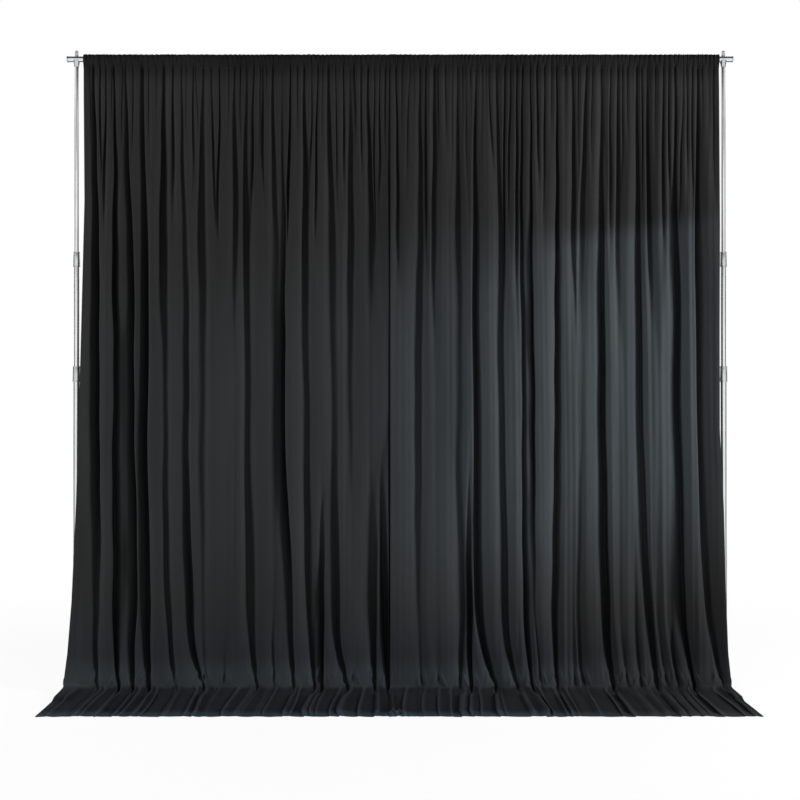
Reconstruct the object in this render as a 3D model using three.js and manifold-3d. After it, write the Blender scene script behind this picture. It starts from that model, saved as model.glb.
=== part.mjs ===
// Pipe and drape backdrop: two telescopic uprights on flat steel feet, a three-part crossbar
// held on their tops by hand nuts, and two gathered drape panels hung on it by rod pockets.
// Millimetres, +Z up, the front faces -Y. The origin is on the floor, midway between the
// uprights and midway between the front hem and the back ends of the feet.
import * as THREE from "three";
import { mergeVertices } from "three/addons/utils/BufferGeometryUtils.js";
import Module from "manifold-3d";

const wasm = await Module();
wasm.setup();

// Fits and mesh fineness
const seat = 0.3; // gap between pieces that rest on each other
const running = 0.35; // radial gap where a tube slides in a bore
const overrun = 5; // how far a cutting tool passes through what it cuts
const weldDistance = 1e-4;
const tubeSides = 20;
const smallSides = 12;
const socketSides = 6;

// The stand
const uprightSpacing = 3084;

// Feet: a flat steel bar on two rubber pads, with a spigot that the upright slips over
const footLength = 480;
const footWidth = 44;
const footThickness = 8;
const footCornerRadius = 12;
const padLength = 40;
const padInset = 6; // from the foot's end and sides
const padThickness = 3;
const spigotHeight = 110;
const spigotFlangeRadius = 20;
const spigotFlangeThickness = 6;
const spigotChamfer = 3;
const footBoltRadius = 5;
const footBoltHeadRadius = 9;
const footBoltHeadThickness = 5;
const footBoltReach = 30; // above the foot
const footBoltSocketRadius = 3;
const footBoltSocketDepth = 3;

// Tubes of one upright, from the floor up
const lowerTube = { radius: 16.5, wall: 1.3, height: 1466 };
const midTube = { radius: 13.75, wall: 1.3, exposed: 547 };
const topTube = { radius: 11.1, wall: 1.2, exposed: 921 };
const guideLength = 90; // the nylon sleeve at an inner tube's foot
const guideLip = 3;
const guideChamfer = 0.75;
const middleStopDepth = 354; // from the lower tube's mouth down to the middle tube's stop
const stopRivetRadius = 1.8;
const stopRivetHeadRadius = 3.2;
const stopRivetHeadThickness = 1.2;

// Clamp collars on the mouths of the lower and middle tubes
const lowerCollarSizes = { socket: 32, grip: 42, wall: 3.2 };
const upperCollarSizes = { socket: 30, grip: 40, wall: 3.2 };
const collarTaper = 1.2; // how much narrower the body is at its top
const collarBeadHeight = 4;
const collarBeadProud = 0.7;
const collarChamfer = 1;
const bossRadius = 8;
const bossReach = 5; // past the collar's body

// Clamp screws with a paddle head, and the brass shoe that each presses on the tube
const screwRadius = 3.1;
const shoeThickness = 2;
const paddleLength = 24; // from the screw's axis to the tip
const paddleHubRadius = 8.5;
const paddleTipRadius = 4.5;
const paddleThickness = 8;
const paddleRimThickness = 1.6;
const paddleRimInset = 1.5;

// Top fittings: a plug with a coned saddle under the crossbar, a stud and a fluted hand nut
const fittingPlugDepth = 40;
const saddleRise = 38; // from the top tube's end to the crossbar's axis
const saddleLipDrop = 5; // the saddle's lips end this far below the crossbar's axis
const saddleRadius = 17.5;
const saddleRimHeight = 4;
const studRadius = 4;
const studFootDepth = 32; // below the crossbar's axis
const washerRadius = 8.6;
const washerCrown = 2.5;
const washerSkirt = 3;
const handNutRadius = 9;
const handNutHeight = 24;
const handNutDome = 4;
const handNutCrownShares = [0.8, 0.4]; // radii of the dome's two upper edges
const handNutFlutes = 8;
const handNutFluteDepth = 0.9;
const studThreadInNut = 16;

// Crossbar: three tubes joined by inner sleeves with sprung snap buttons
const bar = { radius: 13.5, wall: 1.5, overhang: 40 };
const barJointGap = 0.6;
const barJointShare = 1 / 3; // of the bar's length to each side section
const sleeveLength = 160;
const sleeveWall = 1.3;
const buttonRadius = 2.8;
const buttonProud = 2.8;
const buttonDome = 1.2;
const buttonFlangeRadius = 4.5;
const buttonFlangeThickness = 1;
const buttonOffset = 50; // from the joint between two sections
const springThickness = 0.6;
const springWidth = 7;
const springTipPast = 2; // past the button's axis
const capFlangeRadius = 14.6;
const capFlangeThickness = 5;
const capChamfer = 1;
const capPlugLength = 18;
const capPlugWall = 2;

// Drape: two panels that meet left of the middle, gathered on the bar and long enough to
// lie on the floor in front
const clothThickness = 1.5;
const panelSplit = -31;
const panelGap = 1;
const drapeToSaddle = 16.5; // between the drape's side and the saddle
const drapeFloorSpread = 57; // how much wider each side is at the floor
const spreadGrowth = 3;
const pocketDepth = 35; // stitch line below the bar's axis
const pocketGather = 1;
const stitchGap = 0.5;
const turnHeight = 30; // where the hanging cloth turns onto the floor
const foldDepthTop = 6;
const foldDepthFloor = 32;
const foldGrowth = 0.7; // power by which the folds deepen towards the floor
const drapeTopSet = 3; // the cloth's middle plane in front of the bar's axis
const drapeLean = 70; // further forward at the floor
const leanGrowth = 1.2;
const trainReach = 520; // front hem in front of the uprights
const trainBendHeight = 9;
const trainBendRun = 6;
const trainTurnRun = 34;
const trainPastFoot = 20;
const trainDropPastFoot = 80;
const creaseHeights = [10, 9, 6, 2]; // at the turn, past the foot, beyond it and at the hem
const broadFoldShare = 0.1; // a fold this wide or wider has the full depth
const dropShares = [0, 0.14, 0.5, 0.9, 1]; // rows up the hanging cloth, of its height
const [floorShare, stitchShare] = [0, 1]; // of the hanging cloth's height
const leftValleyShares = [0.14, 0.21, 0.31, 0.36, 0.41, 0.48, 0.56, 0.66, 0.73, 0.82, 0.94];
const rightValleyShares = [0.19, 0.24, 0.34, 0.41, 0.48, 0.58, 0.63, 0.73, 0.78, 0.87, 0.95];
const foldShapeShares = [
  [0, -1],
  [0.25, 0.45],
  [0.5, 1],
  [0.75, 0.45],
]; // across one fold: place, and depth from valley (-1) to crest (1)
const wrapSteps = 5; // flats of the pocket round the bar
const wrapStart = THREE.MathUtils.degToRad(225);
const wrapEnd = THREE.MathUtils.degToRad(-45);

// Heights that follow from the sizes above
const footBottom = padThickness + seat;
const footTop = footBottom + footThickness;
const spigotFlangeTop = footTop + seat + spigotFlangeThickness;
const lowerTubeBottom = spigotFlangeTop + seat;
const lowerTubeTop = lowerTubeBottom + lowerTube.height;
const midTubeTop = lowerTubeTop + midTube.exposed;
const topTubeTop = midTubeTop + topTube.exposed;
const middleGuideTop = lowerTubeTop - middleStopDepth;
const topGuideTop = midTubeTop; // it stops under the upper collar's shoulder
const barAxis = topTubeTop + saddleRise;
const uprightX = uprightSpacing / 2;
const barHalf = uprightX + bar.overhang;
const drapeTopHalfWidth = uprightX - saddleRadius - drapeToSaddle;
const standSetback = (trainReach - footLength / 2) / 2;

// Finishes
const chrome = new THREE.MeshStandardMaterial({ color: 0xd4d6d9, roughness: 0.2, metalness: 1 });
const collarGrey = new THREE.MeshStandardMaterial({ color: 0xc3c5c7, roughness: 0.4, metalness: 0.8 });
const zinc = new THREE.MeshStandardMaterial({ color: 0xa9acb0, roughness: 0.35, metalness: 1 });
const powderBlack = new THREE.MeshStandardMaterial({ color: 0x1a1b1c, roughness: 0.6, metalness: 0 });
const rubberBlack = new THREE.MeshStandardMaterial({ color: 0x141414, roughness: 0.9, metalness: 0 });
const nylonWhite = new THREE.MeshStandardMaterial({ color: 0xdcdcd6, roughness: 0.5, metalness: 0 });
const paddleGrey = new THREE.MeshStandardMaterial({ color: 0xb9bbbd, roughness: 0.4, metalness: 0.2 });
const brass = new THREE.MeshStandardMaterial({ color: 0xb08d4a, roughness: 0.35, metalness: 1 });
const drapeBlack = new THREE.MeshStandardMaterial({ color: 0x1c1d1f, roughness: 0.8, metalness: 0 });

/** The geometry with equal points merged and empty triangles dropped. */
function weld(geometry) {
  const bare = geometry.clone();
  for (const name of Object.keys(bare.attributes)) {
    if (name !== "position") {
      bare.deleteAttribute(name);
    }
  }
  const merged = mergeVertices(bare, weldDistance);
  const corners = merged.index.array;
  const kept = [];
  for (let i = 0; i < corners.length; i += 3) {
    const [a, b, c] = corners.slice(i, i + 3);
    if (a !== b && b !== c && c !== a) {
      kept.push(a, b, c);
    }
  }
  merged.setIndex(kept);
  return merged;
}

/** The geometry as a solid that can be joined and cut. */
function toSolid(geometry) {
  const welded = weld(geometry);
  return new wasm.Manifold(
    new wasm.Mesh({
      numProp: 3,
      vertProperties: Float32Array.from(welded.attributes.position.array),
      triVerts: Uint32Array.from(welded.index.array),
    }),
  );
}

/** A solid's surface as a geometry. */
function fromSolid(solid) {
  const surface = solid.getMesh();
  const geometry = new THREE.BufferGeometry();
  geometry.setAttribute("position", new THREE.Float32BufferAttribute(surface.vertProperties, 3));
  geometry.setIndex([...surface.triVerts]);
  return geometry;
}

/** Several geometries joined into one body. */
function joined(first, ...others) {
  return fromSolid(others.reduce((whole, other) => whole.add(toSolid(other)), toSolid(first)));
}

/** A body with each tool cut away from it. */
function cutBy(body, ...tools) {
  return fromSolid(tools.reduce((whole, tool) => whole.subtract(toSolid(tool)), toSolid(body)));
}

/** What two geometries have in common. */
function common(one, other) {
  return fromSolid(toSolid(one).intersect(toSolid(other)));
}

/** A profile of [radius, height] points turned about Z, closed on itself or on the axis. */
function turned(profile, sides = tubeSides) {
  const points = profile.map(([radius, height]) => new THREE.Vector2(radius, height));
  if (profile[0][0] > 0) {
    points.push(points[0].clone());
  }
  return weld(new THREE.LatheGeometry(points, sides).rotateX(Math.PI / 2));
}

/** A plain round bar about Z between two heights. */
function rod(radius, bottom, top, sides = tubeSides) {
  return turned([[0, bottom], [radius, bottom], [radius, top], [0, top]], sides);
}

/** A tube about Z between two heights. */
function pipe(radius, wall, bottom, top, sides = tubeSides) {
  const bore = radius - wall;
  return turned([[bore, bottom], [radius, bottom], [radius, top], [bore, top]], sides);
}

/** Turns what stands along +Z so that it points along +Y. */
function alongY(geometry) {
  return geometry.rotateX(-Math.PI / 2);
}

/** Turns what stands along +Z so that it points along +X. */
function alongX(geometry) {
  return geometry.rotateY(Math.PI / 2);
}

/** A rectangle with round corners, centred on the origin. */
function roundedRectangle(width, length, corner) {
  const x = width / 2 - corner;
  const y = length / 2 - corner;
  const shape = new THREE.Shape();
  shape.absarc(x, y, corner, 0, Math.PI / 2);
  shape.absarc(-x, y, corner, Math.PI / 2, Math.PI);
  shape.absarc(-x, -y, corner, Math.PI, 1.5 * Math.PI);
  shape.absarc(x, -y, corner, 1.5 * Math.PI, 2 * Math.PI);
  return shape;
}

/** A flat outline thickened upwards from a height. */
function plate(shape, bottom, thickness) {
  const sides = smallSides / 4;
  const options = { depth: thickness, bevelEnabled: false, curveSegments: sides };
  return new THREE.ExtrudeGeometry(shape, options).translate(0, 0, bottom);
}

/** A named piece of the backdrop. */
function piece(name, geometry, material) {
  const mesh = new THREE.Mesh(weld(geometry), material);
  mesh.geometry.computeVertexNormals();
  mesh.name = name;
  return mesh;
}

/** The flat foot with its bolt hole, counterbored from below. */
function foot() {
  const blank = plate(roundedRectangle(footWidth, footLength, footCornerRadius), footBottom, footThickness);
  const hole = rod(footBoltRadius + seat, footBottom - overrun, footTop + overrun, smallSides);
  const recessTop = footBottom + footBoltHeadThickness + 2 * seat;
  const recess = rod(footBoltHeadRadius + seat, footBottom - overrun, recessTop, smallSides);
  return cutBy(blank, hole, recess);
}

/** One rubber pad under an end of the foot; end is -1 at the front and 1 at the back. */
function footPad(end) {
  const width = footWidth - 2 * padInset;
  const outline = roundedRectangle(width, padLength, footCornerRadius - padInset);
  const middle = footLength / 2 - padInset - padLength / 2;
  return plate(outline, 0, padThickness).translate(0, end * middle, 0);
}

/** The spigot that stands on the foot inside the lower tube. */
function spigot() {
  const radius = lowerTube.radius - lowerTube.wall - seat;
  const bottom = footTop + seat;
  const top = spigotFlangeTop + spigotHeight;
  const body = turned([
    [0, bottom],
    [spigotFlangeRadius, bottom],
    [spigotFlangeRadius, spigotFlangeTop],
    [radius, spigotFlangeTop],
    [radius, top - spigotChamfer],
    [radius - spigotChamfer, top],
    [0, top],
  ]);
  const holeTop = footTop + footBoltReach + 2 * seat;
  return cutBy(body, rod(footBoltRadius + seat, bottom - overrun, holeTop, smallSides));
}

/** The socket-head bolt that holds the spigot from under the foot. */
function footBolt() {
  const bottom = footBottom + seat;
  const headTop = bottom + footBoltHeadThickness;
  const body = turned(
    [
      [0, bottom],
      [footBoltHeadRadius, bottom],
      [footBoltHeadRadius, headTop],
      [footBoltRadius, headTop],
      [footBoltRadius, footTop + footBoltReach],
      [0, footTop + footBoltReach],
    ],
    smallSides,
  );
  return cutBy(body, rod(footBoltSocketRadius, bottom - overrun, bottom + footBoltSocketDepth, socketSides));
}

/** A clamp collar over one tube's mouth, gripping the tube that slides in it. */
function collar(sizes, outerTube, innerTube, mouth) {
  const bottom = mouth - sizes.socket;
  const top = mouth + sizes.grip;
  const wide = outerTube.radius + sizes.wall;
  const narrow = wide - collarTaper;
  const body = turned([
    [0, bottom],
    [wide + collarBeadProud - collarChamfer, bottom],
    [wide + collarBeadProud, bottom + collarChamfer],
    [wide + collarBeadProud, bottom + collarBeadHeight],
    [wide, bottom + collarBeadHeight + collarBeadProud],
    [narrow, top - collarBeadHeight - collarBeadProud],
    [narrow + collarBeadProud, top - collarBeadHeight],
    [narrow + collarBeadProud, top - collarChamfer],
    [narrow + collarBeadProud - collarChamfer, top],
    [0, top],
  ]);
  const boss = alongY(rod(bossRadius, 0, wide + bossReach, smallSides));
  boss.translate(0, 0, clampHeight(sizes, mouth));
  const socket = rod(outerTube.radius + seat, bottom - overrun, mouth + seat);
  const grip = rod(innerTube.radius + running, bottom - overrun, top + overrun);
  const hole = alongY(rod(screwRadius + seat, 0, wide + bossReach + overrun, smallSides));
  hole.translate(0, 0, clampHeight(sizes, mouth));
  return cutBy(joined(body, boss), socket, grip, hole);
}

/** The height of a collar's clamp screw: the middle of its grip. */
function clampHeight(sizes, mouth) {
  return mouth + sizes.grip / 2;
}

/** A collar's clamp screw with its paddle head; turn is the paddle's angle from +X to +Z. */
function clampScrew(sizes, outerTube, innerTube, mouth, turn) {
  const tip = innerTube.radius + seat + shoeThickness + seat;
  const headStart = outerTube.radius + sizes.wall + bossReach + seat;
  const paddle = plate(paddleOutline(0), headStart, paddleThickness);
  const rimStart = headStart + paddleThickness;
  const rim = plate(paddleOutline(paddleRimInset), rimStart - overrun / 2, overrun / 2 + paddleRimThickness);
  const head = joined(paddle, rim).rotateZ(-turn);
  const shank = rod(screwRadius, tip, headStart + paddleThickness / 2, smallSides);
  return alongY(joined(head, shank)).translate(0, 0, clampHeight(sizes, mouth));
}

/** The paddle seen along its screw: a round hub drawn out to a round tip. */
function paddleOutline(inset) {
  const hub = paddleHubRadius - inset;
  const tip = paddleTipRadius - inset;
  const reach = paddleLength - paddleTipRadius;
  const tangent = Math.acos((hub - tip) / reach);
  const shape = new THREE.Shape();
  shape.absarc(0, 0, hub, tangent, 2 * Math.PI - tangent);
  shape.absarc(reach, 0, tip, -tangent, tangent);
  return shape;
}

/** The brass shoe between a clamp screw and the tube. */
function clampShoe(sizes, innerTube, mouth) {
  const start = innerTube.radius + seat;
  const shoe = alongY(rod(screwRadius, start, start + shoeThickness, smallSides));
  return shoe.translate(0, 0, clampHeight(sizes, mouth));
}

/** The lower tube, with the hole for its stop rivet at the back. */
function lowerTubePiece() {
  const tube = pipe(lowerTube.radius, lowerTube.wall, lowerTubeBottom, lowerTubeTop);
  const hole = alongY(rod(stopRivetRadius + seat, 0, lowerTube.radius + overrun, smallSides));
  return cutBy(tube, hole.translate(0, 0, stopRivetHeight()));
}

/** The height of the stop rivet, just over the middle tube's guide sleeve. */
function stopRivetHeight() {
  return middleGuideTop + seat + stopRivetRadius;
}

/** The rivet that stops the middle tube's guide sleeve inside the lower tube. */
function stopRivet() {
  const headStart = lowerTube.radius + seat;
  const headEnd = headStart + stopRivetHeadThickness;
  const body = turned(
    [
      [0, midTube.radius + running],
      [stopRivetRadius, midTube.radius + running],
      [stopRivetRadius, headStart],
      [stopRivetHeadRadius, headStart],
      [stopRivetHeadRadius - stopRivetHeadThickness / 2, headEnd],
      [0, headEnd],
    ],
    smallSides,
  );
  return alongY(body).translate(0, 0, stopRivetHeight());
}

/** The nylon sleeve round an inner tube's lower end, which runs in the outer tube. */
function guideSleeve(outerTube, innerTube, top) {
  const bottom = top - guideLength;
  const outside = outerTube.radius - outerTube.wall - running;
  const inside = innerTube.radius + seat;
  const lipInside = innerTube.radius - innerTube.wall;
  return turned([
    [lipInside, bottom],
    [outside - guideChamfer, bottom],
    [outside, bottom + guideLip],
    [outside, top],
    [inside, top],
    [inside, bottom + guideLip],
    [lipInside, bottom + guideLip],
  ]);
}

/** The bottom of a tube that stands on its guide sleeve's lip. */
function innerTubeBottom(guideTop) {
  return guideTop - guideLength + guideLip + seat;
}

/** The crossbar's round space, for cutting what sits against it. */
function barSpace() {
  const space = rod(bar.radius + seat, -barHalf, barHalf);
  return alongX(space).translate(0, 0, barAxis);
}

/** The plug in the top tube, with the coned saddle that carries the crossbar. */
function topFitting() {
  const plug = topTube.radius - topTube.wall - seat;
  const rest = topTubeTop + seat;
  const top = barAxis - saddleLipDrop;
  const body = turned([
    [0, topTubeTop - fittingPlugDepth],
    [plug - seat, topTubeTop - fittingPlugDepth],
    [plug, topTubeTop - fittingPlugDepth + spigotChamfer],
    [plug, rest],
    [topTube.radius + seat, rest],
    [topTube.radius + seat, rest + saddleRimHeight],
    [saddleRadius, top - saddleRimHeight],
    [saddleRadius, top],
    [0, top],
  ]);
  const bore = rod(studRadius + seat, barAxis - studFootDepth - seat, barAxis, smallSides);
  return cutBy(body, barSpace(), bore);
}

/** The curved washer between the crossbar and the hand nut. */
function saddleWasher() {
  const barTop = barAxis + bar.radius;
  const body = rod(washerRadius, barTop - washerSkirt, barTop + washerCrown);
  const hole = rod(studRadius + seat, barAxis, barTop + washerCrown + overrun, smallSides);
  return cutBy(body, barSpace(), hole);
}

/** The height that the hand nut stands at. */
function handNutBottom() {
  return barAxis + bar.radius + washerCrown + seat;
}

/** The stud from the saddle up through the crossbar into the hand nut. */
function stud() {
  return rod(studRadius, barAxis - studFootDepth, handNutBottom() + studThreadInNut, smallSides);
}

/** The domed hand nut with flutes for the fingers. */
function handNut() {
  const bottom = handNutBottom();
  const top = bottom + handNutHeight;
  const outline = new THREE.Shape();
  const points = 4 * handNutFlutes;
  for (let i = 0; i < points; i += 1) {
    const angle = (2 * Math.PI * i) / points;
    const dip = (handNutFluteDepth * (1 - Math.cos(handNutFlutes * angle))) / 2;
    const radius = handNutRadius - dip;
    const place = [radius * Math.cos(angle), radius * Math.sin(angle)];
    if (i === 0) {
      outline.moveTo(...place);
    } else {
      outline.lineTo(...place);
    }
  }
  const [crownEdge, crownFlat] = handNutCrownShares;
  const dome = turned([
    [0, bottom],
    [handNutRadius - handNutFluteDepth, bottom],
    [handNutRadius, bottom + handNutFluteDepth],
    [handNutRadius, top - handNutDome],
    [crownEdge * handNutRadius, top - (1 - crownEdge) * handNutDome],
    [crownFlat * handNutRadius, top],
    [0, top],
  ]);
  const body = common(plate(outline, bottom - overrun, handNutHeight + 2 * overrun), dome);
  const thread = rod(studRadius + seat, bottom - overrun, bottom + studThreadInNut + seat, smallSides);
  return cutBy(body, thread);
}

/** One section of the crossbar between two places along X, with round holes through it. */
function barSection(from, to, throughHoles, lowerHoles) {
  const tube = alongX(pipe(bar.radius, bar.wall, from, to)).translate(0, 0, barAxis);
  const tools = throughHoles.map((x) => {
    const reach = bar.radius + overrun;
    return rod(studRadius + seat, barAxis - reach, barAxis + reach, smallSides).translate(x, 0, 0);
  });
  for (const x of lowerHoles) {
    tools.push(buttonHole(x));
  }
  return cutBy(tube, ...tools);
}

/** The hole for a snap button, from the crossbar's axis downwards. */
function buttonHole(x) {
  const hole = rod(buttonRadius + seat, barAxis - bar.radius - overrun, barAxis, smallSides);
  return hole.translate(x, 0, 0);
}

/** The sleeve inside the joint between two crossbar sections. */
function joiningSleeve(x) {
  const radius = bar.radius - bar.wall - seat;
  const tube = alongX(pipe(radius, sleeveWall, -sleeveLength / 2, sleeveLength / 2));
  tube.translate(x, 0, barAxis);
  return cutBy(tube, buttonHole(x - buttonOffset), buttonHole(x + buttonOffset));
}

/** The inside radius of the joining sleeve. */
function sleeveBore() {
  return bar.radius - bar.wall - seat - sleeveWall;
}

/** How far below the crossbar's axis the top of a snap button's flange lies. */
function buttonFlangeDrop() {
  return Math.sqrt(sleeveBore() ** 2 - buttonFlangeRadius ** 2) - running - buttonFlangeThickness;
}

/** A snap button: a domed pin with a flange that stops it inside the sleeve. */
function snapButton(x) {
  const flangeTop = barAxis - buttonFlangeDrop();
  const flangeBottom = flangeTop - buttonFlangeThickness;
  const tip = barAxis - bar.radius - buttonProud;
  const body = turned(
    [
      [0, tip],
      [buttonRadius / 2, tip],
      [buttonRadius, tip + buttonDome],
      [buttonRadius, flangeBottom],
      [buttonFlangeRadius, flangeBottom],
      [buttonFlangeRadius, flangeTop],
      [0, flangeTop],
    ],
    smallSides,
  );
  return body.translate(x, 0, 0);
}

/** The bowed leaf spring that pushes both snap buttons of a joint outwards. */
function leafSpring(x) {
  const tipHeight = seat - buttonFlangeDrop();
  const crown = Math.sqrt((sleeveBore() - seat) ** 2 - (springWidth / 2) ** 2);
  const halfSpan = buttonOffset + springTipPast;
  const rise = crown - springThickness - tipHeight;
  const inside = (halfSpan ** 2 + rise ** 2) / (2 * rise);
  const outside = inside + springThickness;
  const centre = crown - outside;
  const sweep = Math.asin(halfSpan / inside);
  const up = Math.PI / 2;
  const shape = new THREE.Shape();
  shape.absarc(0, centre, outside, up - sweep, up + sweep);
  shape.absarc(0, centre, inside, up + sweep, up - sweep, true);
  const options = { depth: springWidth, bevelEnabled: false, curveSegments: smallSides / 2 };
  const strip = new THREE.ExtrudeGeometry(shape, options).rotateX(Math.PI / 2);
  return strip.translate(x, springWidth / 2, barAxis);
}

/** The plug that closes an end of the crossbar; side is -1 on the left and 1 on the right. */
function endCap(side) {
  const plug = bar.radius - bar.wall - seat;
  const face = barHalf + seat;
  const end = face + capFlangeThickness;
  const body = turned([
    [0, face - capFlangeThickness],
    [plug - capPlugWall, face - capFlangeThickness],
    [plug - capPlugWall, barHalf - capPlugLength],
    [plug, barHalf - capPlugLength],
    [plug, face],
    [capFlangeRadius, face],
    [capFlangeRadius, end - capChamfer],
    [capFlangeRadius - capChamfer, end],
    [0, end],
  ]);
  alongX(body);
  if (side < 0) {
    body.rotateZ(Math.PI);
  }
  return body.translate(0, 0, barAxis);
}

/** One upright with its foot; side is -1 on the left and 1 on the right. */
function upright(name, side, upperPaddleTurn) {
  const group = new THREE.Group();
  const down = -Math.PI / 2;
  group.add(
    piece(`${name}_foot`, foot(), powderBlack),
    piece(`${name}_front_foot_pad`, footPad(-1), rubberBlack),
    piece(`${name}_back_foot_pad`, footPad(1), rubberBlack),
    piece(`${name}_spigot`, spigot(), zinc),
    piece(`${name}_foot_bolt`, footBolt(), zinc),
    piece(`${name}_lower_tube`, lowerTubePiece(), chrome),
    piece(`${name}_stop_rivet`, stopRivet(), zinc),
    piece(`${name}_lower_collar`, collar(lowerCollarSizes, lowerTube, midTube, lowerTubeTop), collarGrey),
    piece(
      `${name}_lower_clamp_screw`,
      clampScrew(lowerCollarSizes, lowerTube, midTube, lowerTubeTop, down),
      paddleGrey,
    ),
    piece(`${name}_lower_clamp_shoe`, clampShoe(lowerCollarSizes, midTube, lowerTubeTop), brass),
    piece(
      `${name}_middle_tube`,
      pipe(midTube.radius, midTube.wall, innerTubeBottom(middleGuideTop), midTubeTop),
      chrome,
    ),
    piece(`${name}_middle_guide_sleeve`, guideSleeve(lowerTube, midTube, middleGuideTop), nylonWhite),
    piece(`${name}_upper_collar`, collar(upperCollarSizes, midTube, topTube, midTubeTop), collarGrey),
    piece(
      `${name}_upper_clamp_screw`,
      clampScrew(upperCollarSizes, midTube, topTube, midTubeTop, upperPaddleTurn),
      paddleGrey,
    ),
    piece(`${name}_upper_clamp_shoe`, clampShoe(upperCollarSizes, topTube, midTubeTop), brass),
    piece(
      `${name}_top_tube`,
      pipe(topTube.radius, topTube.wall, innerTubeBottom(topGuideTop), topTubeTop),
      chrome,
    ),
    piece(`${name}_top_guide_sleeve`, guideSleeve(midTube, topTube, topGuideTop), nylonWhite),
    piece(`${name}_top_fitting`, topFitting(), collarGrey),
    piece(`${name}_fitting_stud`, stud(), zinc),
    piece(`${name}_saddle_washer`, saddleWasher(), collarGrey),
    piece(`${name}_hand_nut`, handNut(), chrome),
  );
  group.position.x = side * uprightX;
  return group;
}

/** The crossbar: three sections, two joining sleeves with snap buttons, and two end caps. */
function crossbar() {
  const group = new THREE.Group();
  const joint = barHalf - 2 * barHalf * barJointShare;
  const half = barJointGap / 2;
  const near = joint - buttonOffset;
  const far = joint + buttonOffset;
  group.add(
    piece("crossbar_left_section", barSection(-barHalf, -joint - half, [-uprightX], [-far]), chrome),
    piece("crossbar_middle_section", barSection(-joint + half, joint - half, [], [-near, near]), chrome),
    piece("crossbar_right_section", barSection(joint + half, barHalf, [uprightX], [far]), chrome),
  );
  for (const [name, side] of [["left", -1], ["right", 1]]) {
    group.add(
      piece(`${name}_joining_sleeve`, joiningSleeve(side * joint), zinc),
      piece(`${name}_outer_snap_button`, snapButton(side * far), zinc),
      piece(`${name}_inner_snap_button`, snapButton(side * near), zinc),
      piece(`${name}_snap_spring`, leafSpring(side * joint), zinc),
      piece(`${name}_end_cap`, endCap(side), collarGrey),
    );
  }
  return group;
}

/** Columns across a panel: each one's share of the width and its depth in the folds. */
function foldColumns(valleyShares) {
  const edges = [0, ...valleyShares, 1];
  const columns = [];
  for (let i = 0; i + 1 < edges.length; i += 1) {
    const width = edges[i + 1] - edges[i];
    const swell = Math.min(1, width / broadFoldShare);
    for (const [place, depth] of foldShapeShares) {
      columns.push({ share: edges[i] + place * width, depth: swell * depth });
    }
  }
  columns.push({ share: 1, depth: -1 });
  return columns;
}

/** Half the drape's width at a share of its height. */
function drapeHalfWidth(share) {
  return drapeTopHalfWidth + drapeFloorSpread * (1 - share) ** spreadGrowth;
}

/** Where a column of a panel lies along X at a share of the drape's height. */
function columnX(side, share, height) {
  const inner = panelSplit + (side * panelGap) / 2;
  const outer = side * drapeHalfWidth(height);
  return side < 0 ? outer + share * (inner - outer) : inner + share * (outer - inner);
}

/** How far the folded cloth lies along Y at a share of the drape's height. */
function foldY(depth, height) {
  const foldDepth = foldDepthTop + (foldDepthFloor - foldDepthTop) * (1 - height) ** foldGrowth;
  const plane = -drapeTopSet - drapeLean * (1 - height) ** leanGrowth;
  return plane - foldDepth * depth;
}

/** The rows of a panel's hanging cloth, from the floor up, over the bar and down to the stitches. */
function hangingRows(side, columns) {
  const stitch = barAxis - pocketDepth;
  const rows = dropShares.map((height) =>
    columns.map(({ share, depth }) => {
      const z = turnHeight + height * (stitch - turnHeight);
      return new THREE.Vector3(columnX(side, share, height), foldY(depth, height), z);
    }),
  );
  const step = (wrapStart - wrapEnd) / wrapSteps;
  const snug = (bar.radius + seat + clothThickness / 2) / Math.cos(step / 2);
  for (let i = 0; i <= wrapSteps; i += 1) {
    const angle = wrapStart - i * step;
    rows.push(
      columns.map(({ share, depth }) => {
        const radius = snug + (pocketGather * (1 + depth)) / 2;
        const x = columnX(side, share, stitchShare);
        return new THREE.Vector3(x, radius * Math.cos(angle), barAxis + radius * Math.sin(angle));
      }),
    );
  }
  rows.push(
    columns.map(({ share, depth }) => {
      const y = foldY(depth, stitchShare) + clothThickness + stitchGap;
      return new THREE.Vector3(columnX(side, share, stitchShare), y, stitch);
    }),
  );
  return rows;
}

/** How high the floor lies under the cloth: the foot's top near a foot, or else zero. */
function footLift(side, x, margin) {
  const reach = footWidth / 2 + margin;
  const away = Math.abs(x - side * uprightX);
  const share = THREE.MathUtils.clamp((2 * reach - away) / reach, 0, 1);
  return share * (footTop + seat);
}

/** The rows of a panel's cloth on the floor, from the hanging part forward to the hem. */
function trainRows(side, columns) {
  const widest = Math.max(...columns.slice(1).map((column, i) => column.share - columns[i].share));
  const margin = widest * 2 * drapeTopHalfWidth;
  const pastFoot = -footLength / 2 - trainPastFoot;
  const [turnCrease, footCrease, midCrease, hemCrease] = creaseHeights;
  const place = (run, height, crease, onFoot) =>
    columns.map(({ share, depth }) => {
      const x = columnX(side, share, floorShare);
      const lift = onFoot ? footLift(side, x, margin) : 0;
      const z = lift + height + (crease * (1 + depth)) / 2;
      return new THREE.Vector3(x, run(depth), z);
    });
  const lying = clothThickness / 2;
  return [
    columns.map(({ share, depth }) => {
      const x = columnX(side, share, floorShare);
      return new THREE.Vector3(x, foldY(depth, floorShare), turnHeight - seat);
    }),
    place((depth) => foldY(depth, floorShare) - trainBendRun, trainBendHeight, 0, true),
    place((depth) => foldY(depth, floorShare) - trainTurnRun, lying, turnCrease, true),
    place(() => pastFoot, lying, footCrease, true),
    place(() => pastFoot - trainDropPastFoot, lying, midCrease, false),
    place(() => -trainReach, lying, hemCrease, false),
  ];
}

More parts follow.
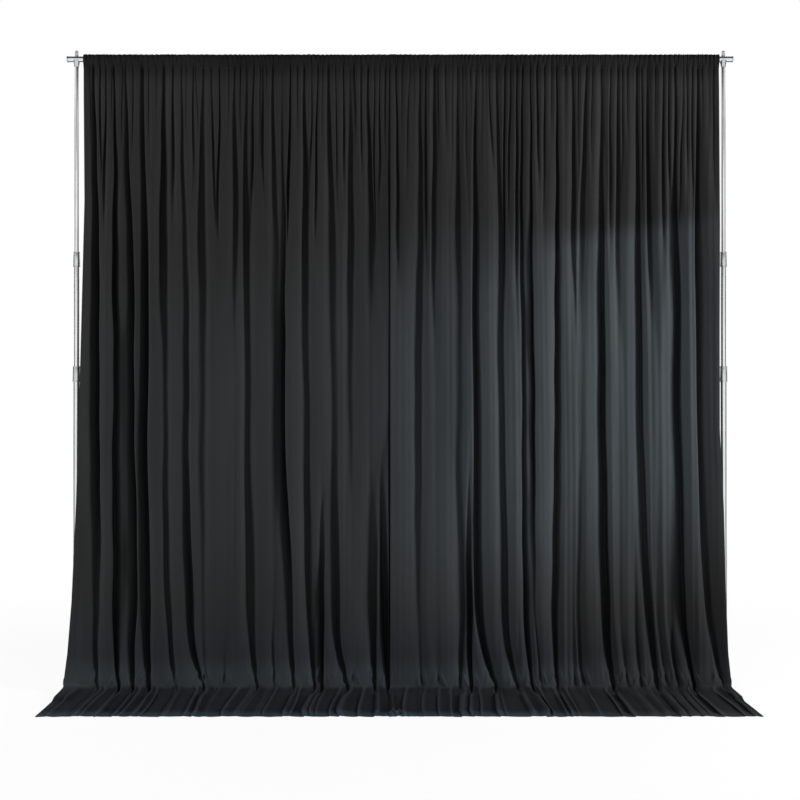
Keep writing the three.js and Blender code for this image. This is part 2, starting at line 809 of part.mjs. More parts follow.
/** Unit normals at a grid's points, pointing out of the drape's front. */
function gridNormals(rows) {
  const last = rows.length - 1;
  return rows.map((row, r) =>
    row.map((point, c) => {
      const across = row[Math.min(c + 1, row.length - 1)].clone().sub(row[Math.max(c - 1, 0)]);
      const up = rows[Math.min(r + 1, last)][c].clone().sub(rows[Math.max(r - 1, 0)][c]);
      return across.cross(up).normalize();
    }),
  );
}

/** A closed thin sheet of cloth through a grid of points, cut square to an axis at each end. */
function cloth(rows, firstAxis, lastAxis) {
  const normals = gridNormals(rows);
  for (const normal of normals[0]) {
    normal[firstAxis] = 0;
    normal.normalize();
  }
  for (const normal of normals[normals.length - 1]) {
    normal[lastAxis] = 0;
    normal.normalize();
  }
  const across = rows[0].length;
  const places = [];
  for (const face of [1, -1]) {
    rows.forEach((row, r) => {
      row.forEach((point, c) => {
        const offset = (face * clothThickness) / 2;
        places.push(...point.clone().addScaledVector(normals[r][c], offset).toArray());
      });
    });
  }
  const at = (face, r, c) => face * rows.length * across + r * across + c;
  const corners = [];
  const quad = (a, b, c, d) => corners.push(a, b, c, a, c, d);
  for (let r = 0; r + 1 < rows.length; r += 1) {
    for (let c = 0; c + 1 < across; c += 1) {
      quad(at(0, r, c), at(0, r, c + 1), at(0, r + 1, c + 1), at(0, r + 1, c));
      quad(at(1, r, c), at(1, r + 1, c), at(1, r + 1, c + 1), at(1, r, c + 1));
    }
    const end = across - 1;
    quad(at(0, r, 0), at(0, r + 1, 0), at(1, r + 1, 0), at(1, r, 0));
    quad(at(0, r, end), at(1, r, end), at(1, r + 1, end), at(0, r + 1, end));
  }
  const top = rows.length - 1;
  for (let c = 0; c + 1 < across; c += 1) {
    quad(at(0, 0, c), at(1, 0, c), at(1, 0, c + 1), at(0, 0, c + 1));
    quad(at(0, top, c), at(0, top, c + 1), at(1, top, c + 1), at(1, top, c));
  }
  const geometry = new THREE.BufferGeometry();
  geometry.setAttribute("position", new THREE.Float32BufferAttribute(places, 3));
  geometry.setIndex(corners);
  return geometry;
}

/** One drape panel: the cloth that hangs on the bar, and its train on the floor. */
function drapePanel(name, side, valleyShares) {
  const columns = foldColumns(valleyShares);
  const group = new THREE.Group();
  const train = trainRows(side, columns).map((row) => [...row].reverse());
  group.add(
    piece(`${name}_drape`, cloth(hangingRows(side, columns), "z", "z"), drapeBlack),
    piece(`${name}_drape_train`, cloth(train, "z", "y"), drapeBlack),
  );
  return group;
}

const backdrop = new THREE.Group();
backdrop.add(
  upright("left", -1, -Math.PI / 2),
  upright("right", 1, 0),
  crossbar(),
  drapePanel("left", -1, leftValleyShares),
  drapePanel("right", 1, rightValleyShares),
);
backdrop.position.y = standSetback;

export default backdrop;
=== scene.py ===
"""Pipe and drape backdrop, dressed: two telescopic uprights on flat feet, a three-part crossbar
held by hand nuts, and two black drape panels gathered on it, with their train on the floor.

Metres, +Z up, the front faces -Y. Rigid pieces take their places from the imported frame.
"""

from __future__ import annotations

import logging
import math
from dataclasses import dataclass, field
from enum import Enum
from typing import Iterable, Sequence

import bmesh
import bpy
import numpy as np
from mathutils import Matrix, Vector

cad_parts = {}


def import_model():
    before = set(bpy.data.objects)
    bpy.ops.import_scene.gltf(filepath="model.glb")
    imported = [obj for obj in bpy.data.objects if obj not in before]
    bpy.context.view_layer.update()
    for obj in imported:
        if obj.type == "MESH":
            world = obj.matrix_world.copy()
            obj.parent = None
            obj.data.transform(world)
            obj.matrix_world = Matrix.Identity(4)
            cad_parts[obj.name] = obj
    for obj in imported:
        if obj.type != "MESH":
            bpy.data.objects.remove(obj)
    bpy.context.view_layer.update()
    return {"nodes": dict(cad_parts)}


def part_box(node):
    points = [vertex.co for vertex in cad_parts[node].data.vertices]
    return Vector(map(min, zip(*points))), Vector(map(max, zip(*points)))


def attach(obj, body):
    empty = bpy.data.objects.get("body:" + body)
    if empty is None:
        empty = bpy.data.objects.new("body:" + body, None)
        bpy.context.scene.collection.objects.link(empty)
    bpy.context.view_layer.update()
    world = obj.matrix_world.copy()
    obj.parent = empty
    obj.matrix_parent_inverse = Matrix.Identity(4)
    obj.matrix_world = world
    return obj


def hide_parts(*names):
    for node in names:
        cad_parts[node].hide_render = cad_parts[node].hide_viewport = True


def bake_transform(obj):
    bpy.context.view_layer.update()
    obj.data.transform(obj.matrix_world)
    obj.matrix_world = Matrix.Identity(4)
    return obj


LOG = logging.getLogger("backdrop")

Array = np.ndarray
Profile = list[tuple[float, float]]
Triple = tuple[float, float, float]
Colour = Triple

Mesh = bpy.types.Mesh
Piece = bpy.types.Object
Material = bpy.types.Material
Tree = bpy.types.NodeTree
Socket = bpy.types.NodeSocket
Form = bmesh.types.BMesh

TURNED_SIDES = 80  # sides of a tube or other turned piece
SMALL_SIDES = 40  # sides of a turned piece under 20 mm across
SHARP_ANGLE = math.radians(38)  # edges sharper than this keep their crease in the shading
CUT_OVERRUN = 0.004  # how far a cutting tool passes through what it cuts
PLAIN_CAST = 0.25  # the value of the attribute "cast" at which the cloth has its plain colour; below it painted shade, above it painted light
LIGHT_EDGE, LIGHT_SLOPE = 2.023, 0.14  # the cool light's upper edge on the cloth, at x = 0


class Side(Enum):
    """The two uprights and the two panels, with the sign of their place along X."""

    LEFT = -1
    RIGHT = 1

    @property
    def label(self) -> str:
        """The word that starts the names of this side's pieces."""
        return self.name.lower()


class Slot(Enum):
    """The material slots."""

    TUBE = "polished_tube"
    CAST = "cast_grey"
    ZINC = "zinc_plate"
    POWDER = "powder_black"
    RUBBER = "foot_rubber"
    NYLON = "guide_nylon"
    PADDLE = "paddle_grey"
    BRASS = "shoe_brass"
    DRAPE = "drape_black"


class Axis(Enum):
    """The axis that a turned piece stands along."""

    X = "X"
    Y = "Y"
    Z = "Z"


class Place(Enum):
    """A snap button's place beside its join in the crossbar."""

    OUTER = "outer"
    INNER = "inner"


class Level(Enum):
    """The two clamps of an upright, each below a stage that slides."""

    LOWER = "lower"
    UPPER = "upper"


def smoothstep(low: float, high: float, value: Array | float) -> Array:
    """A share that rises smoothly from 0 at low to 1 at high.

    Args:
        low: Where the share starts to rise; it may be above high.
        high: Where the share reaches 1.
        value: One value or an array of them.

    Returns:
        The share for each value.
    """
    share = np.clip((np.asarray(value, float) - low) / (high - low), 0.0, 1.0)
    return share * share * (3.0 - 2.0 * share)


def mix(first: Array | float, second: Array | float, share: Array | float) -> Array:
    """The value between two others at a share of the way."""
    return first + (second - first) * share


def mesh_from(form: Form, name: str) -> Mesh:
    """Ends a form under construction as a mesh.

    Args:
        form: The form, which is freed.
        name: The mesh's name.

    Returns:
        The mesh.
    """
    mesh = bpy.data.meshes.new(name)
    form.to_mesh(mesh)
    form.free()
    return mesh


def skin(form: Form, rings: Sequence[Sequence[bmesh.types.BMVert]], endless: bool = False) -> None:
    """Lays faces between each ring of corners and the next, pointing out.

    Args:
        form: The form that holds the corners.
        rings: The rings; one of a single corner is a tip.
        endless: Whether the last ring also joins the first.
    """
    sides = max(len(ring) for ring in rings)
    pairs = list(zip(rings, rings[1:]))
    if endless:
        pairs.append((rings[-1], rings[0]))
    for lower, upper in pairs:
        for i in range(sides):
            j = (i + 1) % sides
            corners = [lower[i % len(lower)], lower[j % len(lower)]]
            corners += [upper[j % len(upper)], upper[i % len(upper)]]
            form.faces.new(list(dict.fromkeys(corners)))
    bmesh.ops.recalc_face_normals(form, faces=form.faces)


def new_object(name: str, mesh: Mesh) -> Piece:
    """A mesh as a named object in the scene, at the origin.

    Args:
        name: The object's name.
        mesh: Its mesh.

    Returns:
        The object.
    """
    made = bpy.data.objects.new(name, mesh)
    bpy.context.scene.collection.objects.link(made)
    return made


def shade(mesh: Mesh, angle: float = SHARP_ANGLE) -> None:
    """Shades a mesh smooth, with a crease along every edge sharper than an angle."""
    mesh.shade_smooth()
    mesh.set_sharp_from_angle(angle=angle)


def dress(piece: Piece, material: Material) -> Piece:
    """Gives every face of a piece one material.

    Args:
        piece: The piece.
        material: The material.

    Returns:
        The piece.
    """
    piece.data.materials.clear()
    piece.data.materials.append(material)
    return piece


def settled(piece: Piece) -> Piece:
    """Turns what a piece's modifiers make of it into its own plain mesh.

    Args:
        piece: The object whose modifiers are to be applied.

    Returns:
        The same object, with a new mesh and no modifiers.
    """
    graph = bpy.context.evaluated_depsgraph_get()
    made = bpy.data.meshes.new_from_object(piece.evaluated_get(graph))
    piece.modifiers.clear()
    piece.data = made
    made.name = piece.name
    return piece


def arc(centre: tuple[float, float], radius: float, start: float, end: float, steps: int) -> Profile:
    """Points on an arc of a profile.

    Args:
        centre: The arc's centre, as radius and height.
        radius: The arc's radius.
        start: The first point's angle in degrees, from outwards (0) to up (90).
        end: The last point's angle in degrees.
        steps: The number of stretches between the points.

    Returns:
        The points, the two ends included.
    """
    angles = (math.radians(start + (end - start) * i / steps) for i in range(steps + 1))
    return [(centre[0] + radius * math.cos(a), centre[1] + radius * math.sin(a)) for a in angles]


def turned_mesh(profile: Profile, sides: int) -> Mesh:
    """A profile turned about Z into a closed mesh.

    Args:
        profile: Points as radius and height, from the bottom outwards and up. It starts and ends
            on the axis, or else it is a ring that closes on itself.
        sides: The number of sides.

    Returns:
        The mesh, with its faces pointing out.
    """
    form = bmesh.new()
    turns = [2 * math.pi * i / sides for i in range(sides)]
    rings = []
    for radius, height in profile:
        if radius == 0.0:
            rings.append([form.verts.new((0.0, 0.0, height))])
        else:
            spots = [(radius * math.cos(a), radius * math.sin(a), height) for a in turns]
            rings.append([form.verts.new(spot) for spot in spots])
    skin(form, rings, endless=profile[0][0] != 0.0)
    return mesh_from(form, "turned")


def turned(
    name: str, profile: Profile, place: Vector, axis: Axis = Axis.Z, sides: int = TURNED_SIDES
) -> Piece:
    """A turned piece along one axis.

    Args:
        name: The piece's name.
        profile: Its profile, as for turned_mesh, with heights along the axis.
        place: Where the profile's height 0 lies.
        axis: The axis that the piece is turned about.
        sides: The number of sides.

    Returns:
        The piece, with its place in its mesh.
    """
    mesh = turned_mesh(profile, sides)
    turns = {
        Axis.X: Matrix.Rotation(math.radians(90), 4, "Y"),
        Axis.Y: Matrix.Rotation(math.radians(-90), 4, "X"),
        Axis.Z: Matrix.Identity(4),
    }
    mesh.transform(Matrix.Translation(place) @ turns[axis])
    shade(mesh)
    return new_object(name, mesh)


def rod_profile(radius: float, start: float, end: float, rounding: float = 0.0) -> Profile:
    """The profile of a solid round bar.

    Args:
        radius: The bar's radius.
        start: The height of its lower end.
        end: The height of its upper end.
        rounding: The radius of its two rims, or 0 for sharp ones.

    Returns:
        The profile.
    """
    if rounding <= 0.0:
        return [(0.0, start), (radius, start), (radius, end), (0.0, end)]
    inner = radius - rounding
    return [
        (0.0, start),
        *arc((inner, start + rounding), rounding, -90, 0, 3),
        *arc((inner, end - rounding), rounding, 0, 90, 3),
        (0.0, end),
    ]


def tube_profile(radius: float, wall: float, start: float, end: float) -> Profile:
    """The profile of a tube whose two mouths are rounded over the whole wall.

    Args:
        radius: The tube's outer radius.
        wall: Its wall.
        start: The height of its lower mouth.
        end: The height of its upper mouth.

    Returns:
        The profile.
    """
    half = wall / 2
    middle = radius - half
    return [
        *arc((middle, start + half), half, -180, 0, 6),
        *arc((middle, end - half), half, 0, 180, 6),
    ]


def outline_plate(outline: Sequence[tuple[float, float]], bottom: float, top: float) -> Mesh:
    """A flat outline thickened between two heights.

    Args:
        outline: The corners in the XY plane, counterclockwise.
        bottom: The lower face's height.
        top: The upper face's height.

    Returns:
        The closed mesh.
    """
    form = bmesh.new()
    low = [form.verts.new((x, y, bottom)) for x, y in outline]
    high = [form.verts.new((x, y, top)) for x, y in outline]
    form.faces.new(list(reversed(low)))
    form.faces.new(high)
    count = len(outline)
    for i in range(count):
        j = (i + 1) % count
        form.faces.new((low[i], low[j], high[j], high[i]))
    return mesh_from(form, "plate")


def rounded_rectangle(width: float, length: float, corner: float, steps: int = 8) -> Profile:
    """A rectangle in the XY plane with round corners, centred on the origin.

    Args:
        width: Its size along X.
        length: Its size along Y.
        corner: The corners' radius.
        steps: The stretches in each corner.

    Returns:
        The corners, counterclockwise.
    """
    x, y = width / 2 - corner, length / 2 - corner
    return [
        *arc((x, y), corner, 0, 90, steps),
        *arc((-x, y), corner, 90, 180, steps),
        *arc((-x, -y), corner, 180, 270, steps),
        *arc((x, -y), corner, 270, 360, steps),
    ]


def combine(piece: Piece, tools: Iterable[tuple[Piece, str]]) -> Piece:
    """Joins tools to a piece or cuts them from it, and removes the tools.

    Args:
        piece: The piece to change.
        tools: Each tool with UNION, DIFFERENCE or INTERSECT.

    Returns:
        The piece with its new mesh.
    """
    used = []
    for tool, operation in tools:
        step = piece.modifiers.new("combine", "BOOLEAN")
        step.solver = "EXACT"
        step.operation = operation
        step.object = tool
        used.append(tool)
    settled(piece)
    for tool in used:
        bpy.data.objects.remove(tool)
    return piece


def soften(piece: Piece, width: float, segments: int = 2) -> Piece:
    """Rounds a piece's sharp edges by a width, and shades it smooth.

    Args:
        piece: The piece.
        width: How wide the rounding is.
        segments: How many facets the rounding has.

    Returns:
        The piece with its new mesh.
    """
    step = piece.modifiers.new("soften", "BEVEL")
    step.width = width
    step.segments = segments
    step.limit_method = "ANGLE"
    step.angle_limit = SHARP_ANGLE
    step.use_clamp_overlap = True
    settled(piece)
    shade(piece.data)
    return piece


def add_node(
    tree: Tree, kind: str, inputs: dict[str | int, object] | None = None, **settings: object
) -> bpy.types.Node:
    """Adds a node to a tree.

    Args:
        tree: The tree.
        kind: The node's type.
        inputs: What goes into it, by name or number: a socket to join, or a plain value.
        settings: The node's own settings.

    Returns:
        The node.
    """
    node = tree.nodes.new(kind)
    for name, value in settings.items():
        setattr(node, name, value)
    for key, value in (inputs or {}).items():
        if isinstance(value, Socket):
            tree.links.new(value, node.inputs[key])
        else:
            node.inputs[key].default_value = value
    return node


def math_value(tree: Tree, operation: str, *values: Socket | float) -> Socket:
    """The result of one step of arithmetic on sockets or numbers."""
    return add_node(tree, "ShaderNodeMath", dict(enumerate(values)), operation=operation).outputs["Value"]


def attribute_value(tree: Tree, name: str) -> Socket:
    """The value of one of the mesh's own attributes."""
    return add_node(tree, "ShaderNodeAttribute", attribute_name=name).outputs["Fac"]


def shader_of(material: Material) -> bpy.types.Node:
    """A material's Principled shader."""
    return material.node_tree.nodes["Principled BSDF"]


def new_material(name: str, colour: Colour, metallic: float, roughness: float) -> Material:
    """A material with one Principled shader.

    Args:
        name: The material's name.
        colour: The shader's plain colour, linear.
        metallic: The shader's metallic value.
        roughness: The shader's plain roughness.

    Returns:
        The material.
    """
    material = bpy.data.materials.new(name)
    material.use_nodes = True
    shader = shader_of(material)
    shader.inputs["Base Color"].default_value = (*colour, 1.0)
    shader.inputs["Metallic"].default_value = metallic
    shader.inputs["Roughness"].default_value = roughness
    material.diffuse_color = (*colour, 1.0)
    return material


def object_noise(tree: Tree, scale: float, stretch: Triple = (1.0, 1.0, 1.0), detail: float = 4.0) -> Socket:
    """Noise on Object coordinates.

    Args:
        tree: The material's tree.
        scale: How many features fit in a metre.
        stretch: The coordinates' own scale along each axis; below 1 draws the features out.
        detail: The noise's detail.

    Returns:
        The noise's value socket.
    """
    place = add_node(tree, "ShaderNodeTexCoord").outputs["Object"]
    mapping = add_node(tree, "ShaderNodeMapping", {"Vector": place, "Scale": stretch})
    inputs = {"Vector": mapping.outputs["Vector"], "Scale": scale, "Detail": detail}
    return add_node(tree, "ShaderNodeTexNoise", inputs).outputs["Fac"]


def ramp(tree: Tree, source: Socket, low: float, high: float, out_low: float, out_high: float) -> Socket:
    """A value carried from one range to another, clamped."""
    inputs = {"Value": source, "From Min": low, "From Max": high, "To Min": out_low, "To Max": out_high}
    return add_node(tree, "ShaderNodeMapRange", inputs).outputs["Result"]


def colour_between(tree: Tree, share: Socket, first: Colour, second: Colour) -> Socket:
    """The colour between two others at a share from a socket."""
    inputs = {"Factor": share, "A": (*first, 1.0), "B": (*second, 1.0)}
    return add_node(tree, "ShaderNodeMix", inputs, data_type="RGBA").outputs["Result"]


def colour_product(tree: Tree, colour: Socket, share: Socket, factor: Colour) -> Socket:
    """A colour multiplied by a factor for each channel, as far as a share from a socket says."""
    inputs = {"Factor": share, "A": colour, "B": (*factor, 1.0)}
    return add_node(tree, "ShaderNodeMix", inputs, data_type="RGBA", blend_type="MULTIPLY").outputs["Result"]


def bump(tree: Tree, height: Socket, depth: float, below: Socket | None = None) -> Socket:
    """A bump in a surface.

    Args:
        tree: The material's tree.
        height: The height's socket.
        depth: What a height of 1 stands for, in metres.
        below: The normal of another bump that this one lies on.

    Returns:
        The normal's socket.
    """
    inputs = {"Strength": 1.0, "Distance": depth, "Height": height}
    if below is not None:
        inputs["Normal"] = below
    return add_node(tree, "ShaderNodeBump", inputs).outputs["Normal"]


@dataclass(frozen=True)
class MetalFinish:
    """A metal surface with drawn or cast grain, cloudy polish and light handling marks."""

    name: str
    colour: Colour
    dull_colour: Colour
    roughness: float
    rough_marks: float
    grain_scale: float
    grain_stretch: Triple = (1.0, 1.0, 1.0)
    grain_depth: float = 0.00001
    grain_detail: float = 2.0
    cloud_scale: float = 7.0
    dull_clouds: tuple[float, float] = (0.42, 0.68)  # the noise from which, and up to which, it dulls
    rough_clouds: tuple[float, float] = (0.35, 0.70)
    rough_range: tuple[float, float] = (0.8, 1.15)

    def build(self) -> Material:
        """Makes the finish's material.

        Returns:
            The material.
        """
        material = new_material(self.name, self.colour, 1.0, self.roughness)
        tree = material.node_tree
        sockets = shader_of(material).inputs
        clouds = object_noise(tree, self.cloud_scale)
        grain = object_noise(tree, self.grain_scale, self.grain_stretch, self.grain_detail)
        dullness = ramp(tree, clouds, *self.dull_clouds, 0.0, 1.0)
        tree.links.new(colour_between(tree, dullness, self.colour, self.dull_colour), sockets["Base Color"])
        least, most = (self.roughness * part for part in self.rough_range)
        cloudy = ramp(tree, clouds, *self.rough_clouds, least, most)
        rough = math_value(tree, "MULTIPLY_ADD", grain, self.rough_marks, cloudy)
        tree.links.new(rough, sockets["Roughness"])
        tree.links.new(bump(tree, grain, self.grain_depth), sockets["Normal"])
        return material


@dataclass(frozen=True)
class MouldedFinish:
    """A plastic, rubber or powder-coated surface with its fine texture and a little dust."""

    name: str
    colour: Colour
    dust_colour: Colour
    dust: float
    roughness: float
    texture_scale: float
    texture_depth: float
    coat: float = 0.0
    dust_scale: float = 22.0
    dust_clouds: tuple[float, float] = (0.45, 0.75)
    rough_clouds: tuple[float, float] = (0.3, 0.7)
    rough_range: tuple[float, float] = (0.85, 1.15)

    def build(self) -> Material:
        """Makes the finish's material.

        Returns:
            The material.
        """
        material = new_material(self.name, self.colour, 0.0, self.roughness)
        tree = material.node_tree
        sockets = shader_of(material).inputs
        sockets["Coat Weight"].default_value = self.coat
        dust = ramp(tree, object_noise(tree, self.dust_scale), *self.dust_clouds, 0.0, self.dust)
        tree.links.new(colour_between(tree, dust, self.colour, self.dust_colour), sockets["Base Color"])
        texture = object_noise(tree, self.texture_scale, detail=2.0)
        least, most = (self.roughness * part for part in self.rough_range)
        rough = ramp(tree, texture, *self.rough_clouds, least, most)
        tree.links.new(rough, sockets["Roughness"])
        tree.links.new(bump(tree, texture, self.texture_depth), sockets["Normal"])
        return material


@dataclass(frozen=True)
class DrapeFinish:
    """Matte black polyester: a fine weave, soft sheen, painted shade, and painted cool light on its lower
    part.
    """

    name: str
    # The three colours of the attribute "cast": painted shade, the plain black and painted cool light.
    painted_shade_colour: Colour = (0.0112, 0.0112, 0.0114)
    colour: Colour = (0.0205, 0.0205, 0.0208)
    painted_lit_colour: Colour = (0.038, 0.045, 0.049)
    chill_colour: Colour = (0.80, 0.97, 1.20)  # what the colour is multiplied by where the painted blue light is full
    roughness: float = 0.72
    yarn_pitch: float = 0.0011
    yarn_depth: float = 0.00012
    yarn_waver: float = 0.6
    slub_scale: float = 90.0
    slub_depth: float = 0.0005
    sheen: float = 0.01
    sheen_roughness: float = 0.35
    sheen_tint: Colour = (0.62, 0.66, 0.70)
    specular: float = 0.015
    cloud_scale: float = 5.0
    cloud_stretch: Triple = (1.0, 1.0, 0.12)
    cloud_tones: tuple[float, float] = (0.82, 1.14)  # the cloth's darkest and lightest clouds

    def build(self) -> Material:
        """Makes the finish's material.

        Returns:
            The material.
        """
        material = new_material(self.name, self.colour, 0.0, self.roughness)
        tree = material.node_tree
        sockets = shader_of(material).inputs
        sockets["Specular IOR Level"].default_value = self.specular
        sockets["Sheen Weight"].default_value = self.sheen
        sockets["Sheen Roughness"].default_value = self.sheen_roughness
        sockets["Sheen Tint"].default_value = (*self.sheen_tint, 1.0)
        # The attribute "cast" picks the colour from painted shade at 0, through the plain black, to painted
        # cool light at 1.
        painted_tones = add_node(tree, "ShaderNodeValToRGB", {"Fac": attribute_value(tree, "cast")})
        painted_tones.color_ramp.elements[0].color = (*self.painted_shade_colour, 1.0)
        painted_tones.color_ramp.elements[1].color = (*self.painted_lit_colour, 1.0)
        painted_tones.color_ramp.elements.new(PLAIN_CAST).color = (*self.colour, 1.0)
        # Then a bluer tint where the painted blue light lies.
        chill = attribute_value(tree, "chill")
        blue_painted_tones = colour_product(tree, painted_tones.outputs["Color"], chill, self.chill_colour)
        clouds = object_noise(tree, self.cloud_scale, self.cloud_stretch)
        clouds = ramp(tree, clouds, 0.3, 0.7, *self.cloud_tones)
        scaled = add_node(tree, "ShaderNodeVectorMath", {0: blue_painted_tones, "Scale": clouds}, operation="SCALE")
        tree.links.new(scaled.outputs["Vector"], sockets["Base Color"])
        tree.links.new(self.weave(tree), sockets["Normal"])
        return material

    def weave(self, tree: Tree) -> Socket:
        """The bump of warp and weft, from the cloth's own map in metres.

        Args:
            tree: The material's tree.

        Returns:
            The normal's socket.
        """
        place = add_node(tree, "ShaderNodeUVMap", uv_map="cloth").outputs["UV"]
        scale = math.pi / (10 * self.yarn_pitch)
        yarn = {"Vector": place, "Scale": scale, "Distortion": self.yarn_waver, "Detail": 1.0}
        warp = add_node(tree, "ShaderNodeTexWave", yarn, bands_direction="X").outputs["Fac"]
        weft = add_node(tree, "ShaderNodeTexWave", yarn, bands_direction="Y").outputs["Fac"]
        slubs = {"Vector": place, "Scale": self.slub_scale, "Detail": 3.0}
        slub = add_node(tree, "ShaderNodeTexNoise", slubs).outputs["Fac"]
        woven = math_value(tree, "MAXIMUM", warp, weft)
        return bump(tree, woven, self.yarn_depth, bump(tree, slub, self.slub_depth))


def grey(level: float) -> Colour:
    """A neutral colour."""
    return (level, level, level)


DRAWN_GRAIN = (1.0, 1.0, 0.01)
METALS = {
    Slot.TUBE: MetalFinish(
        "tube_polish", (0.80, 0.81, 0.82), (0.72, 0.73, 0.74), 0.14, 0.1, 700, DRAWN_GRAIN
    ),
    Slot.CAST: MetalFinish("cast_grey_satin", (0.70, 0.71, 0.72), (0.62, 0.63, 0.64), 0.36, 0.1, 1400),
    Slot.ZINC: MetalFinish("zinc_satin", (0.56, 0.57, 0.59), (0.45, 0.46, 0.49), 0.3, 0.12, 1100),
    Slot.BRASS: MetalFinish("shoe_brass_satin", (0.60, 0.43, 0.17), (0.45, 0.30, 0.11), 0.32, 0.1, 1200),
}
MOULDED = {
    Slot.POWDER: MouldedFinish("powder_coat", (0.014, 0.014, 0.015), grey(0.06), 0.3, 0.5, 1500, 0.00006),
    Slot.RUBBER: MouldedFinish("foot_rubber", grey(0.012), grey(0.07), 0.4, 0.85, 900, 0.00008),
    Slot.NYLON: MouldedFinish("guide_nylon", (0.70, 0.70, 0.66), (0.5, 0.5, 0.47), 0.3, 0.42, 800, 0.00002),
    Slot.PADDLE: MouldedFinish(
        "paddle_plastic", (0.50, 0.51, 0.52), grey(0.4), 0.25, 0.38, 1300, 0.00003, 0.1
    ),
}
THREAD = MouldedFinish("seam_thread", (0.02, 0.02, 0.021), grey(0.04), 0.3, 0.6, 3000, 0.00004)


@dataclass(frozen=True)
class Finishes:
    """Every material of the backdrop, by its slot, and the thread of its seams."""

    by_slot: dict[Slot, Material]
    thread: Material

    @staticmethod
    def make() -> Finishes:
        """Builds all the materials.

        Returns:
            The finishes.
        """
        made = {slot: finish.build() for slot, finish in {**METALS, **MOULDED}.items()}
        made[Slot.DRAPE] = DrapeFinish("drape_black").build()
        return Finishes(made, THREAD.build())

    def of(self, slot: Slot) -> Material:
        """The material of one slot."""
        return self.by_slot[slot]

    def hand_over(self, piece: Piece, body: str, slot: Slot, node: str) -> None:
        """Dresses a finished piece and puts it on its body, in place of the frame's node.

        Args:
            piece: The finished piece, in its place.
            body: The frame's body that it rides on.
            slot: The material slot.
            node: The node that it stands for.
        """
        dress(piece, self.of(slot))
        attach(piece, body)
        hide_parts(node)
        LOG.info("%s rides on %s", piece.name, body)


@dataclass(frozen=True)
class Fold:
    """One fold of a panel, by its valley.

    places are the valley's places along X at the high, middle and low marks, depths its
    strengths there, and lean how far its bottom leans sideways for each metre of its depth.
    """

    places: tuple[float, float, float]
    depths: tuple[float, float, float]
    lean: float = 0.0
    left_width: float = 0.0155
    right_width: float = 0.0155
    fade_height: float | None = None  # below this height the fold is gone
    sweep: float = 0.016  # how far its foot swings along X just above the floor


MARK_HEIGHTS = (2.55, 1.365, 0.17)  # where the folds' places and strengths are given
CAMERA_REACH = 5.3  # the distance from which those places were taken

LEFT_FOLDS = [
    Fold((-1.453, -1.441, -1.431), (0.75, 1.0, 0.52), 0.35, 0.014, 0.020, sweep=0.028),
    Fold((-1.354, -1.342, -1.332), (0.85, 0.9, 1.0), -0.30),
    Fold((-1.297, -1.274, -1.250), (0.65, 1.0, 0.9), 0.40, 0.013, 0.019),
    Fold((-1.221, -1.210, -1.187), (0.75, 1.0, 0.95), 0.25, 0.015, 0.020, sweep=0.025),
    Fold((-1.121, -1.102, -1.071), (1.0, 0.46, 0.56), -0.35, 0.026, 0.017),
    Fold((-1.035, -1.015, -0.980), (0.42, 0.50, 0.78), 0.30, 0.016, 0.019, sweep=0.066),
    Fold((-0.936, -0.926, -0.916), (0.8, 0.44, 0.34), -0.30, 0.029, 0.022),
    Fold((-0.789, -0.798, -0.827), (0.75, 0.20, 0.30), 0.25, 0.024, 0.031),
    Fold((-0.727, -0.711, -0.689), (0.68, 0.48, 0.66), -0.35, 0.026, 0.020),
    Fold((-0.603, -0.602, -0.596), (0.6, 0.46, 0.32), 0.20, 0.019, 0.026),
    Fold((-0.5605, -0.555, -0.510), (0.3, 1.25, 0.56), 0.45, 0.012, 0.017),
    Fold((-0.451, -0.438, -0.423), (0.75, 0.54, 0.74), -0.25, 0.022, 0.019),
    Fold((-0.337, -0.320, -0.297), (0.7, 0.50, 0.76), 0.35, 0.021, 0.027, sweep=0.063),
    Fold((-0.233, -0.229, -0.229), (0.72, 0.45, 0.15), -0.20, 0.028, 0.025),
    Fold((-0.147, -0.137, -0.126), (0.75, 0.14, 0.80), 0.30, 0.020, 0.025),
]
LEFT_LOW_FOLDS = [
    Fold((-0.372, -0.371, -0.369), (0.0, 0.0, 0.95), 0.2),
    Fold((-0.072, -0.071, -0.070), (0.0, 0.0, 0.9), -0.2),
]
LEFT_FADING = [  # each fold's place, and the height where it ends
    (-1.400, 1.84), (-1.164, 2.31), (-1.078, 1.88), (-0.985, 1.98), (-0.860, 1.65), (-0.651, 1.93),
    (-0.489, 2.31), (-0.395, 1.70), (-0.270, 1.93), (-0.185, 2.05), (-0.098, 1.85),
]
